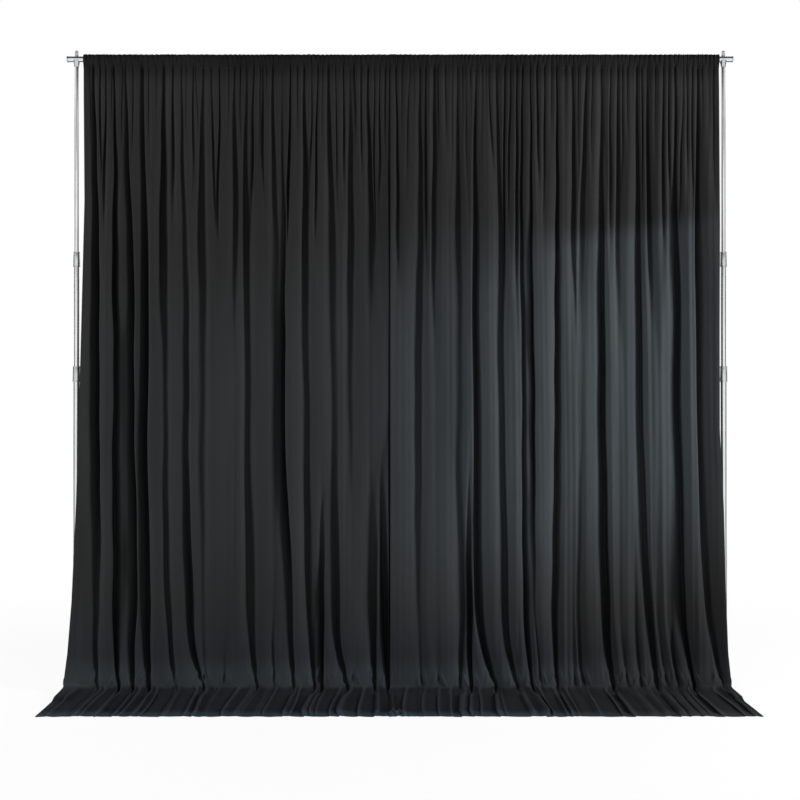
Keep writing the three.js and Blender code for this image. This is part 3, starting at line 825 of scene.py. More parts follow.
RIGHT_FOLDS = [
    Fold((0.092, 0.078, 0.085), (0.75, 0.66, 0.28), 0.30, 0.018, 0.024),
    Fold((0.162, 0.170, 0.170), (0.7, 0.18, 0.18), -0.25, 0.019, 0.019),
    Fold((0.271, 0.270, 0.271), (0.72, 0.50, 0.62), 0.35, 0.022, 0.030),
    Fold((0.361, 0.364, 0.384), (0.75, 0.92, 0.84), -0.30, 0.020, 0.016, sweep=0.050),
    Fold((0.466, 0.475, 0.496), (0.72, 0.58, 0.60), 0.30, 0.014, 0.020, sweep=0.050),
    Fold((0.580, 0.586, 0.594), (0.75, 0.58, 0.62), -0.20, 0.012, 0.008),
    Fold((0.622, 0.626, 0.641), (0.62, 1.0, 0.2), 0.20, 0.008, 0.008),
    Fold((0.746, 0.748, 0.722), (0.8, 0.84, 0.56), -0.20, 0.015, 0.008),
    Fold((0.822, 0.818, 0.806), (0.74, 0.12, 0.28), 0.20, 0.019, 0.019),
    Fold((0.879, 0.860, 0.841), (0.78, 0.26, 0.36), -0.45, 0.023, 0.017),
    Fold((0.955, 0.947, 0.964), (0.8, 1.2, 0.80), 0.35, 0.016, 0.022, sweep=0.035),
    Fold((1.036, 1.040, 1.046), (0.74, 0.28, 0.30), -0.25, 0.019, 0.019),
    Fold((1.125, 1.125, 1.177), (0.8, 0.84, 0.70), 0.40, 0.017, 0.022),
    Fold((1.178, 1.205, 1.226), (0.85, 0.14, 0.36), -0.20, 0.018, 0.018),
    Fold((1.306, 1.302, 1.336), (0.85, 1.2, 0.84), 0.35, 0.013, 0.019, sweep=0.030),
    Fold((1.416, 1.418, 1.472), (0.85, 0.66, 0.44), -0.35, 0.017, 0.012),
]
RIGHT_LOW_FOLDS = [
    Fold((0.322, 0.322, 0.323), (0.0, 0.0, 0.9), 0.2),
    Fold((1.255, 1.262, 1.275), (0.0, 0.1, 0.44), -0.3),
    Fold((1.095, 1.085, 1.106), (0.0, 0.0, 0.40), 0.2, 0.019, 0.019),
]
RIGHT_FADING = [  # each fold's place, and the height where it ends
    (0.125, 1.60), (0.215, 2.20), (0.315, 1.95), (0.410, 2.35), (0.520, 1.75), (0.685, 1.85),
    (0.785, 2.40), (0.915, 2.10), (1.000, 1.70), (1.085, 2.20), (1.250, 1.60), (1.365, 1.95),
    (1.465, 2.30),
]


class Part(Enum):
    """The four lengths that one panel's cloth is divided into, from the bar to the hem."""

    POCKET = "pocket"
    UPPER = "upper_drape"
    LOWER = "lower_drape"
    TRAIN = "train"


@dataclass(frozen=True)
class DrapeFall:
    """How both panels hang: the heights, the fold depths and the floor that they share."""

    bar_axis_height: float
    bar_plane: float  # the bar's axis along Y
    front_hem: float
    foot_top: float
    foot_place: float = 1.542  # each foot's distance from the middle
    bar_radius: float = 0.0135
    stitch_drop: float = 0.050
    pocket_rise: float = 0.0055  # the gathered cloth's bulk over the bar
    turn_height: float = 0.030
    top_set: float = 0.003
    floor_lean: float = 0.070
    lean_growth: float = 1.2
    depth_top: float = 0.006
    depth_floor: float = 0.032
    depth_growth: float = 0.7
    cloth_width: float = 2.21
    cloth_thickness: float = 0.0012
    join_height: float = 1.3
    train_joint_height: float = 0.08
    back_reach: float = 0.060  # how far behind the bar's axis the valleys may reach
    tube_gap: float = 0.0225  # how far before that axis the cloth stays in front of an upright
    floor_gap: float = 0.026  # the same, where it turns onto the floor
    collar_height: float = 2.2  # above this height nothing stands behind the cloth

    @property
    def stitch_height(self) -> float:
        """The pocket's stitch line."""
        return self.bar_axis_height - self.stitch_drop

    def share_up(self, height: Array | float) -> Array:
        """The share of the hanging cloth's height, 0 at the floor and 1 at the stitch line."""
        share = (np.asarray(height, float) - self.turn_height) / (self.stitch_height - self.turn_height)
        return np.clip(share, 0.0, 1.0)

    def fold_depth(self, height: Array | float) -> Array:
        """How far the frame's cloth stands before and behind its middle plane."""
        deeper = (1.0 - self.share_up(height)) ** self.depth_growth
        return self.depth_top + (self.depth_floor - self.depth_top) * deeper

    def farthest_back(self, places: Array, gap: float) -> Array:
        """How far back the cloth may reach.

        Args:
            places: Places along X.
            gap: How far before the bar's axis the cloth stays in front of an upright.

        Returns:
            The place along Y for each.
        """
        before_tube = smoothstep(1.470, 1.500, np.abs(places))
        return mix(self.bar_plane + self.back_reach, self.bar_plane - gap, before_tube)

    def crest_plane(self, height: Array | float) -> Array:
        """The place along Y of the folds' crests."""
        lean = self.floor_lean * (1.0 - self.share_up(height)) ** self.lean_growth
        return self.bar_plane - self.top_set - lean - self.fold_depth(height)


def through_marks(values: tuple[float, float, float], height: Array, low_power: float = 1.8) -> Array:
    """A value given at the three marks, carried to any height.

    Args:
        values: The values at the high, middle and low marks.
        height: The heights wanted.
        low_power: How late the change below the middle mark comes.

    Returns:
        The value at each height.
    """
    high, middle, low = values
    top_mark, middle_mark, low_mark = MARK_HEIGHTS
    above = mix(middle, high, np.clip((height - middle_mark) / (top_mark - middle_mark), 0.0, 1.3))
    down = np.clip((middle_mark - height) / (middle_mark - low_mark), 0.0, 1.12)
    below = mix(middle, low, down**low_power)
    return np.where(height >= middle_mark, above, below)


def eased_marks(values: tuple[float, float, float], height: Array) -> Array:
    """A strength given at the three marks, with soft changes between them.

    Args:
        values: The strengths at the high, middle and low marks.
        height: The heights wanted.

    Returns:
        The strength at each height.
    """
    high, middle, low = values
    top_mark, middle_mark, low_mark = MARK_HEIGHTS
    above = mix(middle, high, smoothstep(middle_mark, top_mark, height))
    below = mix(middle, low, smoothstep(middle_mark, low_mark + 0.1, height))
    return np.where(height >= middle_mark, above, below)


@dataclass
class DrapePanel:
    """One gathered panel: its folds, its pocket round the bar and its train on the floor."""

    side: Side
    fall: DrapeFall
    folds: Sequence[Fold]
    low_folds: Sequence[Fold]
    fading: Sequence[tuple[float, float]]
    outer_heights: Sequence[float]
    outer_places: Sequence[float]  # the outer edge's distance from the middle at those heights
    inner_place: float
    inner_sign: float  # 1 where the inner edge lies behind its neighbour's
    train_outer: float
    hand: int  # seeds the small irregularities
    columns: int = 690
    samples: int = 2600
    upper_rows: int = 70
    lower_rows: int = 66
    train_rows: int = 62
    pocket_rows: int = 30
    face_rows: int = 9  # of them, on each face of the pocket below the bar's axis
    top_pitch: float = 0.029
    fade_heights: Sequence[float] = (1.5, 1.75, 2.0, 2.15, 2.25, 2.35)
    fade_length: float = 0.85
    floor_valley: float = 0.058  # a full valley's usual depth at the floor and at the stitches
    top_valley: float = 0.022
    sways: tuple[float, float] = (0.0022, 0.0012)  # how far a fold sways slowly and quickly
    swell: float = 0.14  # how much of its width a fold gains and loses on the way down
    crowding: float = 0.46  # what is left of the folds' widths at the stitches
    foot_height: float = 0.42  # below this height the folds' feet swing and close
    foot_run: float = 0.39
    core_width: float = 0.84  # a fold's sharp core and its broad skirt, against its width
    skirt_width: float = 2.2
    core_share: float = 0.62
    skirt_share: float = 0.52
    outer_ease: float = 0.030  # the stretch beside an edge over which the folds set in
    inner_ease: float = 0.022
    hidden_ease: float = 0.034  # the same beside the lap, which lies at the depth below
    hidden_depth: float = 0.95
    gathered_share: float = 0.38  # of the spare width that the folds take up at the stitches
    gathered_height: float = 0.34
    most_scale: float = 0.16
    foot_scale: float = 0.42  # what is left of the valleys' depth at the floor
    gather_depth: float = 0.0016
    wave_height: float = 0.0009
    pleat_reach: float = 0.013  # how far a pleat on the floor folds over
    pleat_height: float = 0.0120
    pleat_run: float = 4.5  # columns over which a pleat's top comes down again
    crease_pitch: float = 0.092  # the train's small creases between the pleats, in metres of cloth
    crease_gains: tuple[float, float] = (0.40, 0.34)  # how much a crease's painted highlight on its top and painted shade at its foot change its tone
    kink_height: float = 0.007  # how far the small kinks beside the folds' feet stand out
    kink_width: float = 0.0065
    kink_length: float = 0.030
    inner_lap: float = 0.050  # how far the edge behind runs on, so that the panels don't part
    hem_width: float = 0.022
    side_seam: float = 0.018
    hem_seam: float = 0.025
    thread_lift: float = 0.00015
    noise: np.random.Generator = field(init=False)
    all_folds: list[Fold] = field(init=False)
    sway_phase: Array = field(init=False)
    sway_rate: Array = field(init=False)
    swell_phase: Array = field(init=False)
    waves: Array = field(init=False)
    gathers: Array = field(init=False)
    ripples: Array = field(init=False)
    heading: Array = field(init=False)
    floor_lean: Array = field(init=False)
    crease_highlight_and_shade: Array = field(init=False)
    kinks: list[tuple[Fold, float, float, float]] = field(init=False)
    lengths_down: dict[Part, float] = field(init=False, default_factory=dict)
    seams: dict[Part, list[Array]] = field(init=False, default_factory=dict)

    def __post_init__(self) -> None:
        """Starts this panel's own seeded random draws and lists all of its folds."""
        self.noise = np.random.default_rng(self.hand)
        self.all_folds = [*self.folds, *self.low_folds, *self.fading_folds()]
        count = len(self.all_folds)
        self.sway_phase = self.noise.uniform(0, 2 * math.pi, (count, 2))
        self.sway_rate = self.noise.uniform(3.0, 7.5, (count, 2))
        self.swell_phase = self.noise.uniform(0, 2 * math.pi, (count, 2))
        lowest = (0.024, 0.0, 0.5, 1.0, 0.0, 3.0)
        highest = (0.070, 2 * math.pi, 1.6, 3.2, 2 * math.pi, 9.0)
        self.waves = self.noise.uniform(lowest, highest, (6, 6))

    def edges(self, height: float) -> tuple[float, float]:
        """The places along X of the panel's low and high edges.

        Args:
            height: The height at which they are wanted.

        Returns:
            The two places.
        """
        outer = float(np.interp(height, self.outer_heights, self.outer_places)) * self.side.value
        inner = self.inner_place + self.lap(height)
        return (outer, inner) if self.side is Side.LEFT else (inner, outer)

    def lap(self, height: float) -> float:
        """How far the inner edge runs on behind its neighbour's.

        Args:
            height: The height at which it is wanted.

        Returns:
            The distance; 0 for the panel in front.
        """
        if self.inner_sign < 0:
            return 0.0
        return self.inner_lap * float(smoothstep(2.54, 2.25, height) * smoothstep(0.06, 0.30, height))

    def fading_folds(self) -> list[Fold]:
        """The smaller folds that start at the pocket and fade out on the way down.

        Returns:
            The folds seen in the photograph, then those that fill the gaps between them.
        """
        found = []
        for place, fade in self.fading:
            lean = self.noise.uniform(-0.3, 0.3)
            found.append(Fold((place, place, place), (0.58, 0.5, 0.3), lean, 0.014, 0.014, fade))
        low, high = self.edges(MARK_HEIGHTS[0])
        taken = sorted([low, high, *(f.places[0] for f in self.folds), *(p for p, _ in self.fading)])
        for before, after in zip(taken, taken[1:]):
            gaps = round((after - before) / self.top_pitch)
            for i in range(1, gaps):
                place = mix(before, after, i / gaps) + self.noise.uniform(-0.004, 0.004)
                fade = float(self.noise.choice(self.fade_heights)) - self.noise.uniform(0.0, 0.15)
                strength = self.noise.uniform(0.40, 0.72)
                lean = self.noise.uniform(-0.25, 0.25)
                drift = self.noise.uniform(-0.034, 0.034)
                width = self.noise.uniform(0.0095, 0.0135)
                places = (place, place + drift, place)
                found.append(Fold(places, (strength, 0.4, 0.3), lean, width, width, fade))
        return found

    def row_depth(self, height: float, places: Array) -> tuple[Array, Array]:
        """The folds' unscaled depth and sideways lean along one row.

        Args:
            height: The row's height.
            places: Dense places along X.

        Returns:
            The depth and the lean at each place.
        """
        spot = np.array([height])
        usual_depth = mix(self.floor_valley, self.top_valley, float(self.fall.share_up(height)))
        cubes = np.zeros_like(places)
        arches = np.zeros_like(places)
        lean_sum = np.zeros_like(places)
        weights = np.full_like(places, 1e-6)
        for i, fold in enumerate(self.all_folds):
            strength = float(eased_marks(fold.depths, spot)[0])
            width_gain = 1.0
            if fold.fade_height is not None:
                fade = float(smoothstep(fold.fade_height, fold.fade_height + self.fade_length, height))
                strength = fold.depths[0] * fade**1.3
                width_gain = 1.0 + 1.3 * (1.0 - fade)
            if strength < 0.01:
                continue
            rates, phases = self.sway_rate[i], self.sway_phase[i]
            sway = self.sways[0] * math.sin(rates[0] * height + phases[0])
            sway += self.sways[1] * math.sin(2.3 * rates[1] * height + phases[1])
            swell = 1.0 + self.swell * math.sin(2.1 * height + self.swell_phase[i][0])
            crowding = mix(1.0, self.crowding, smoothstep(1.9, 2.85, height))
            deep = strength * usual_depth
            centre = float(through_marks(fold.places, spot)[0]) * (1.0 + deep / CAMERA_REACH)
            centre = centre + sway - fold.lean * strength * usual_depth
            down = min(max((self.foot_height - height) / self.foot_run, 0.0), 1.0)
            centre += fold.sweep * down**2.8
            away = places - centre
            width = np.where(away < 0, fold.left_width, fold.right_width) * crowding * width_gain * swell
            if fold.fade_height is None:
                softer = 1.0 + 0.9 * max(0.0, 0.85 - strength) * float(smoothstep(2.5, 1.9, height))
                closing = mix(1.0, 0.5, float(smoothstep(self.foot_height, 0.04, height)))
                width = width * mix(1.20, 1.40, smoothstep(1.2, 0.3, height)) * softer * closing
            core = 1.0 / (1.0 + np.abs(away / (self.core_width * width)) ** 2.3) ** 1.6
            skirt = 1.0 / (1.0 + (away / (self.skirt_width * width)) ** 2) ** 1.5
            shape = strength * core
            arches += (strength * skirt) ** 2
            cubes += shape**3
            lean_sum += fold.lean * shape**2
            weights += shape**2
        depth = self.core_share * np.cbrt(cubes) + self.skirt_share * np.sqrt(arches)
        return depth, lean_sum / weights

    def row(self, height: float) -> tuple[Array, Array]:
        """One row of the hanging cloth, at equal stretches of its own width.

        Args:
            height: The row's height.

        Returns:
            The place along X and the depth behind the crest plane, for each column.
        """
        low, high = self.edges(height)
        places = np.linspace(low, high, self.samples)
        depth, lean = self.row_depth(height, places)
        gaps = (places - low, high - places)
        outer_gap, inner_gap = gaps if self.side is Side.LEFT else gaps[::-1]
        ease = smoothstep(0.0, self.outer_ease, outer_gap)
        if self.inner_sign > 0:
            lap = self.lap(height)
            behind = self.hidden_depth * smoothstep(lap + self.hidden_ease, lap, inner_gap)
            depth = np.maximum(depth * smoothstep(0.0, 0.02, inner_gap), behind)
        else:
            ease *= smoothstep(0.0, self.inner_ease, inner_gap)
        depth = depth * ease
        stitches = self.fall.stitch_height
        gathered = smoothstep(stitches - self.gathered_height, stitches, height)
        taken_up = mix(1.0, self.gathered_share, gathered)
        wanted = (high - low) + taken_up * (self.fall.cloth_width - (high - low))
        least, most = 0.0, self.most_scale
        for _ in range(22):
            scale = 0.5 * (least + most)
            lengths = self.lengths(places, depth, lean, scale)
            if lengths[-1] < wanted:
                least = scale
            else:
                most = scale
        shares = np.linspace(0.0, lengths[-1], self.columns)
        scale *= mix(self.foot_scale, 1.0, float(smoothstep(0.015, 0.125, height)))
        moved = places + lean * depth * scale * ease
        return np.interp(shares, lengths, moved), np.interp(shares, lengths, depth * scale)

    @staticmethod
    def lengths(places: Array, depth: Array, lean: Array, scale: float) -> Array:
        """The cloth's length from the first sample to each sample.

        Args:
            places: The samples' places along X.
            depth: Their unscaled depth.
            lean: Their sideways lean.
            scale: What the depth is multiplied by.

        Returns:
            One length for each sample.
        """
        across = np.diff(places + lean * depth * scale)
        back = np.diff(depth * scale)
        return np.concatenate([[0.0], np.cumsum(np.hypot(across, back))])

    def puckers(self, count: int, pitch: float) -> Array:
        """Uneven small gathers across the cloth, from 0 to 1, for each column.

        Args:
            count: How many layers of waves are added up.
            pitch: The gathers' mean distance, in metres of cloth.

        Returns:
            One value for each column.
        """
        across = np.linspace(0.0, self.fall.cloth_width, self.columns)
        total = np.zeros(self.columns)
        weights = [0.4**i for i in range(count)]
        for weight in weights:
            rate = 2 * math.pi / (pitch * self.noise.uniform(0.85, 1.2))
            wander = 0.9 * np.sin(across * self.noise.uniform(4, 11) + self.noise.uniform(0, 6))
            phase = rate * across + wander * 4 + self.noise.uniform(0, 6)
            total += weight * np.abs(np.sin(0.5 * phase)) ** 0.8
        return total / sum(weights)

    def streaks(self, places: Array, height: float) -> Array:
        """The slight long ripples between the folds, along one row.

        Args:
            places: The row's places along X.
            height: The row's height.

        Returns:
            How far each place stands back.
        """
        total = np.zeros_like(places)
        for wave in self.waves:
            phase = wave[1] + wave[2] * math.sin(wave[3] * height + wave[4])
            swell = 0.55 + 0.45 * np.sin(wave[5] * places + 1.4 * height + wave[4])
            total += self.wave_height * swell * np.sin(2 * math.pi * places / wave[0] + phase)
        return total * self.inside(places, 0.03)

    def hanging(self, heights: Array) -> Array:
        """Points of the hanging cloth.

        Args:
            heights: The rows' heights, from the top down.

        Returns:
            The points, one row for each height.
        """
        fall = self.fall
        grid = np.zeros((len(heights), self.columns, 3))
        for i, height in enumerate(heights):
            places, depth = self.row(float(height))
            near_stitches = smoothstep(fall.stitch_height - 0.11, fall.stitch_height, height)
            small = self.gather_depth * self.gathers * near_stitches
            back = fall.crest_plane(height) + depth + small
            grid[i, :, 0] = places
            grid[i, :, 1] = back + self.streaks(places, float(height))
            grid[i, :, 2] = height
        over = grid[..., 1] - fall.farthest_back(grid[..., 0], fall.tube_gap)
        below_collar = grid[..., 2] < fall.collar_height
        grid[..., 1] -= np.where((over > 0) & below_collar, over, 0.0)
        return grid

    def pocket(self, top_row: Array) -> Array:
        """Points of the rod pocket, from the stitch line up, over the bar and down the back.

        Args:
            top_row: The hanging cloth's points on the stitch line.

        Returns:
            The points, by row and column.
        """
        fall = self.fall
        flat, bend = self.face_rows, self.pocket_rows - 2 * self.face_rows
        radius = fall.bar_radius + 0.0003 + fall.cloth_thickness / 2
        wrinkle = 0.0040 * self.ripples + 0.0050 * self.gathers
        grid = np.zeros((2 * flat + bend, self.columns, 3))
        grid[..., 0] = top_row[:, 0]
        front = fall.bar_plane - radius - wrinkle
        back = fall.bar_plane + radius + wrinkle
        for i in range(flat):
            share = i / flat
            eased = float(smoothstep(0.0, 1.0, share))
            grid[i, :, 1] = mix(top_row[:, 1], front, eased)
            grid[i, :, 2] = mix(fall.stitch_height, fall.bar_axis_height, share)
            grid[-1 - i, :, 1] = mix(top_row[:, 1] + 0.0030, back, eased)
            grid[-1 - i, :, 2] = grid[i, :, 2]
        for i in range(bend):
            angle = math.pi * (1 - i / (bend - 1))
            reach = radius + wrinkle * (0.75 + 0.25 * math.cos(2 * angle))
            rise = fall.pocket_rise * math.sin(angle) ** 2 * (0.7 + 0.3 * self.heading)
            grid[flat + i, :, 1] = fall.bar_plane + reach * math.cos(angle)
            grid[flat + i, :, 2] = fall.bar_axis_height + reach * math.sin(angle) + rise
        skew = 0.0016 * np.sin(np.linspace(0, 61, self.columns) + self.hand)
        lift = np.sin(np.linspace(0, math.pi, len(grid)))[:, None]
        grid[..., 0] += skew * lift * self.inside(grid[0, :, 0], 0.03)
        return grid

    @staticmethod
    def inside(places: Array, distance: float) -> Array:
        """A share that rises from 0 at a row's two ends to 1 at a distance from them."""
        return smoothstep(0.0, distance, np.minimum(places - places.min(), places.max() - places))

    def train(self, joint_row: Array) -> Array:
        """Points of the cloth from the joint row down, round the turn and forward to the hem.

        Args:
            joint_row: The hanging cloth's last row.

        Returns:
            The points, by row and column.
        """
        fall = self.fall
        floor_row_x, floor_depth = self.row(fall.turn_height)
        crest = float(fall.crest_plane(fall.turn_height))
        share_in = np.clip(floor_depth / max(float(np.percentile(floor_depth, 97)), 1e-6), 0.0, 1.2)
        raised = np.clip(1.0 - share_in, 0.0, 1.0) ** 0.85
        turn_y = np.minimum(crest + floor_depth, fall.farthest_back(floor_row_x, fall.floor_gap))
        rest = fall.cloth_thickness / 2 + 0.0003
        bend_radius = 0.020
        ridge_turn, ridge_hem = 0.0150, 0.0006
        low, high = self.edges(fall.turn_height)
        across = np.linspace(0.0, 1.0, self.columns)
        even = mix(low, high, across)
        hem_outer = self.train_outer * self.side.value
        span = (hem_outer, self.inner_place) if self.side is Side.LEFT else (self.inner_place, hem_outer)
        hem_x = mix(span[0], span[1], (0.66 * floor_row_x + 0.34 * even - low) / (high - low))
        drift = 0.010 * np.sin(across * 23 + self.hand) * self.inside(even, 0.04)
        hem_x = hem_x + drift
        rows_down, rows_bend = 6, 9
        rows_floor = self.train_rows - rows_down - rows_bend
        grid = np.zeros((self.train_rows, self.columns, 3))
        start_z = rest + ridge_turn * raised + bend_radius
        for i in range(rows_down):
            share = i / rows_down
            grid[i, :, 0] = mix(joint_row[:, 0], floor_row_x, smoothstep(0, 1, share))
            grid[i, :, 1] = mix(joint_row[:, 1], turn_y, share)
            grid[i, :, 2] = mix(joint_row[:, 2], start_z, share)
        for i in range(rows_bend):
            angle = math.pi / 2 * i / rows_bend
            row = grid[rows_down + i]
            row[:, 0] = floor_row_x
            row[:, 1] = turn_y - bend_radius + bend_radius * math.cos(angle)
            row[:, 2] = start_z - bend_radius * math.sin(angle)
        kinks = 0.5 + 0.5 * np.sin(across * 2 * math.pi * 19 + 2.2 * np.sin(across * 31 + self.hand))
        slide, stack = self.pleats(share_in, floor_row_x)
        around = np.convolve(np.pad(stack, 5, mode="edge"), np.ones(11) / 11, mode="valid")
        # Painted highlight on each pleat's top and painted shade at its foot, from how far it stands above
        # its neighbours.
        self.crease_highlight_and_shade = np.clip((stack - around) / (0.22 * self.pleat_height), -1.0, 1.0)
        for i in range(rows_floor):
            share = i / (rows_floor - 1)
            row = grid[rows_down + rows_bend + i]
            curve = 0.006 * np.sin(math.pi * share) * np.sin(across * 17 + 2 * self.hand)
            row[:, 0] = mix(floor_row_x, hem_x, float(smoothstep(-0.15, 1.0, share)))
            row[:, 0] += curve * self.inside(even, 0.04)
            row[:, 1] = mix(turn_y - bend_radius, fall.front_hem + 0.003 * kinks, share)
            ridge = mix(ridge_turn, ridge_hem, share**0.6)
            kinked = 0.0012 * kinks * float(smoothstep(0.80, 1.0, share))
            wander = 0.0006 * (1 + np.sin(across * 43 + 5.0 * share + self.hand)) * share
            folded = float(smoothstep(0.02, 0.30, share))
            row[:, 0] += slide * folded
            row[:, 2] = rest + (ridge * raised * (1.0 - 0.5 * folded) + wander + 0.5 * kinked * raised)
            at_hem = float(smoothstep(0.80, 1.0, share))
            row[:, 2] += stack * folded * mix(1.0, 0.25, at_hem) + 0.0007 * at_hem
        lift = grid[..., 2] - rest
        lean = self.floor_lean[None, :] * np.linspace(0.2, 1.0, self.train_rows)[:, None]
        flat_part = np.zeros((self.train_rows, 1))
        flat_part[rows_down:, 0] = smoothstep(0.0, 1.0, np.linspace(0.0, 4.0, self.train_rows - rows_down))
        grid[..., 0] += lean * np.minimum(lift, 0.02) * flat_part
        return self.over_foot(self.bunched(grid))

    def pleats(self, share_in: Array, places: Array) -> tuple[Array, Array]:
        """The flat pleats in which the train takes up the cloth of the valleys.

        Args:
            share_in: The depth of the folds at the floor, for each column, from 0 to 1.
            places: The columns' places along X at the floor.

        Returns:
            How far each column slides sideways, and how high it is stacked.
        """
        slide, stack = np.zeros(self.columns), np.zeros(self.columns)
        column = np.arange(self.columns)
        pitch = self.fall.cloth_width / (self.columns - 1)
        for centre in range(6, self.columns - 6):
            near = share_in[max(centre - 7, 0):centre + 8]
            if share_in[centre] < 0.30 or share_in[centre] < near.max():
                continue
            inside = share_in > 0.22 * share_in[centre]
            first, last = centre, centre
            while first > 1 and inside[first - 1]:
                first -= 1
            while last < self.columns - 2 and inside[last + 1]:
                last += 1
            half = max(4.0, min(centre - first, last - centre, 17))
            turn = np.clip((column - centre) / half, -1.0, 1.0)
            end = min(int(centre + half), self.columns - 1)
            spare = 2 * half * pitch - abs(places[end] - places[int(centre - half)])
            reach = min(self.pleat_reach, 0.25 * max(spare, 0.0))
            top = 1.0 if self.noise.uniform() < 0.72 else -1.0
            slide -= reach * np.sin(math.pi * turn)
            side = top * (column - centre)
            run_out = np.exp(-np.maximum(side - 0.7 * half, 0.0) / self.pleat_run)
            rise = smoothstep(-0.45 * half, 0.35 * half, side) * run_out
            stack = np.maximum(stack, self.pleat_height * min(1.0, reach / self.pleat_reach + 0.2) * rise)
        for centre in np.arange(0.6, self.fall.cloth_width / self.crease_pitch) * self.crease_pitch / pitch:
            centre += self.noise.uniform(-0.3, 0.3) * self.crease_pitch / pitch
            top = 1.0 if self.noise.uniform() < 0.72 else -1.0
            height = self.pleat_height * self.noise.uniform(0.40, 0.70)
            side = top * (column - centre)
            rise = smoothstep(-3.5, 1.5, side) * np.exp(-np.maximum(side - 1.5, 0.0) / self.pleat_run)
            slide -= top * 0.0030 * np.exp(-((side / 5.0) ** 2)) * np.sign(side + 0.01)
            stack = np.maximum(stack, height * rise)
        return slide * self.inside(places, 0.05), stack

    def kinked(self, grid: Array) -> Array:
        """Raises the small kinks where the folds' feet turn onto the floor.

        Args:
            grid: The cloth's points, which are changed.

        Returns:
            The same points.
        """
        x, z = grid[..., 0].copy(), grid[..., 2]
        for fold, side, height, lean in self.kinks:
            centre = fold.places[2] * (1.0 + fold.depths[2] * 0.011) + fold.sweep * 0.8
            centre = centre + side + lean * (z - height)
            across = np.exp(-(((x - centre) / self.kink_width) ** 2))
            along = np.exp(-(((z - height) / self.kink_length) ** 2)) * smoothstep(0.014, 0.032, z)
            grid[..., 1] -= self.kink_height * across * along
        return grid

    def bunched(self, grid: Array) -> Array:
        """Raises the small bunch of cloth where the two panels' hems meet.

        Args:
            grid: The train's points, which are changed.

        Returns:
            The same points.
        """
        hem = self.fall.front_hem
        x, y = grid[..., 0] + 0.010, grid[..., 1] - hem
        across = np.exp(-((x / (0.030 + 0.9 * np.maximum(0.060 - y, 0.0))) ** 2))
        along = smoothstep(0.16, 0.035, y) * mix(0.12, 1.0, smoothstep(0.0, 0.024, y))
        ripple = 0.55 + 0.25 * np.sin(230 * x + 95 * y) + 0.20 * np.sin(150 * x - 210 * y + 1.3)
        over = 0.0025 if self.inner_sign < 0 else 0.0
        grid[..., 2] += (0.019 * ripple + over) * across * along
        return grid

    def over_foot(self, grid: Array) -> Array:
        """Lifts the cloth over the flat foot that it lies on.

        Args:
            grid: The train's points, which are changed.

        Returns:
            The same points.
        """
        fall = self.fall
        beside = np.abs(np.abs(grid[..., 0]) - fall.foot_place)
        hump = (fall.foot_top + 0.0012) * smoothstep(0.066, 0.025, beside)
        hump = hump * smoothstep(-0.155, -0.105, grid[..., 1])
        grid[..., 2] += hump * smoothstep(0.080, 0.030, grid[..., 2])
        return grid

    def build(self) -> dict[Part, Piece]:
        """Makes the panel's four lengths of cloth, as closed sheets that meet row to row.

        Returns:
            The sheets.
        """
        fall = self.fall
        self.gathers = self.puckers(2, 0.034)
        self.ripples = self.puckers(2, 0.0135)
        self.heading = self.puckers(2, 0.21)
        steps = np.sort(self.noise.uniform(0, 1, 9))
        sign = np.sign(np.interp(np.linspace(0, 1, self.columns), steps, self.noise.uniform(-1, 1, 9)))
        softened = np.convolve(np.pad(sign, 20, mode="edge"), np.ones(41) / 41, mode="valid")
        self.floor_lean = 1.5 * softened
        self.kinks = []
        for fold in (*self.folds, *self.low_folds):
            for away in (-1.0, 1.0):
                place = away * self.noise.uniform(0.013, 0.024)
                height = self.noise.uniform(0.045, 0.085)
                self.kinks.append((fold, place, height, -away * self.noise.uniform(0.1, 0.5)))
        near_top = np.linspace(0.0, 1.0, self.upper_rows) ** 1.35
        upper = self.hanging(mix(fall.stitch_height, fall.join_height, near_top))
        lower = self.hanging(np.linspace(fall.join_height, fall.train_joint_height, self.lower_rows))
        train = self.kinked(self.train(lower[-1]))
        lower = self.kinked(lower)
        pocket = self.pocket(upper[0])
        grids = {Part.POCKET: pocket[::-1], Part.UPPER: upper, Part.LOWER: lower, Part.TRAIN: train}
        whole = np.concatenate([pocket[::-1][:-1], upper[:-1], lower[:-1], train])
        normals = grid_normals(whole)
        rows = np.linalg.norm(np.diff(whole, axis=0), axis=2).mean(axis=1)
        down = np.concatenate([[0.0], np.cumsum(rows)])
        made = {}
        start = 0
        for part, grid in grids.items():
            end = start + len(grid)
            part_normals, part_down = normals[start:end], down[start:end]
            made[part] = self.sheet_of(part, grid, part_normals, part_down)
            self.lengths_down[part] = float(part_down[-1] - part_down[0])
            self.seams[part] = self.seam_lines(part, grid, part_normals, part_down)
            start = end - 1
        return made

    def seam_lines(self, part: Part, grid: Array, normals: Array, down: Array) -> list[Array]:
        """The lines that one length of the cloth is sewn along, just proud of its two faces.

        Args:
            part: The length of cloth.
            grid: Its points.
            normals: Its unit normals.
            down: Each row's distance along the cloth.

        Returns:
            The lines, each as rows of points.
        """
        proud = self.fall.cloth_thickness * 0.5 + self.thread_lift
        if part is Part.POCKET:
            return [grid[-2] + normals[-2] * proud, grid[1] + normals[1] * proud]
        proud_hem = proud + self.fall.cloth_thickness * 0.35
        column = round(self.side_seam / self.fall.cloth_width * (self.columns - 1))
        lines = []
        for index in (column, self.columns - 1 - column):
            lines.append(grid[:, index] + normals[:, index] * proud_hem)
        if part is Part.TRAIN:
            row = int(np.argmin(np.abs(down[-1] - down - self.hem_seam)))
            lines.append(grid[row] + normals[row] * (proud_hem + 0.0002))
        return lines

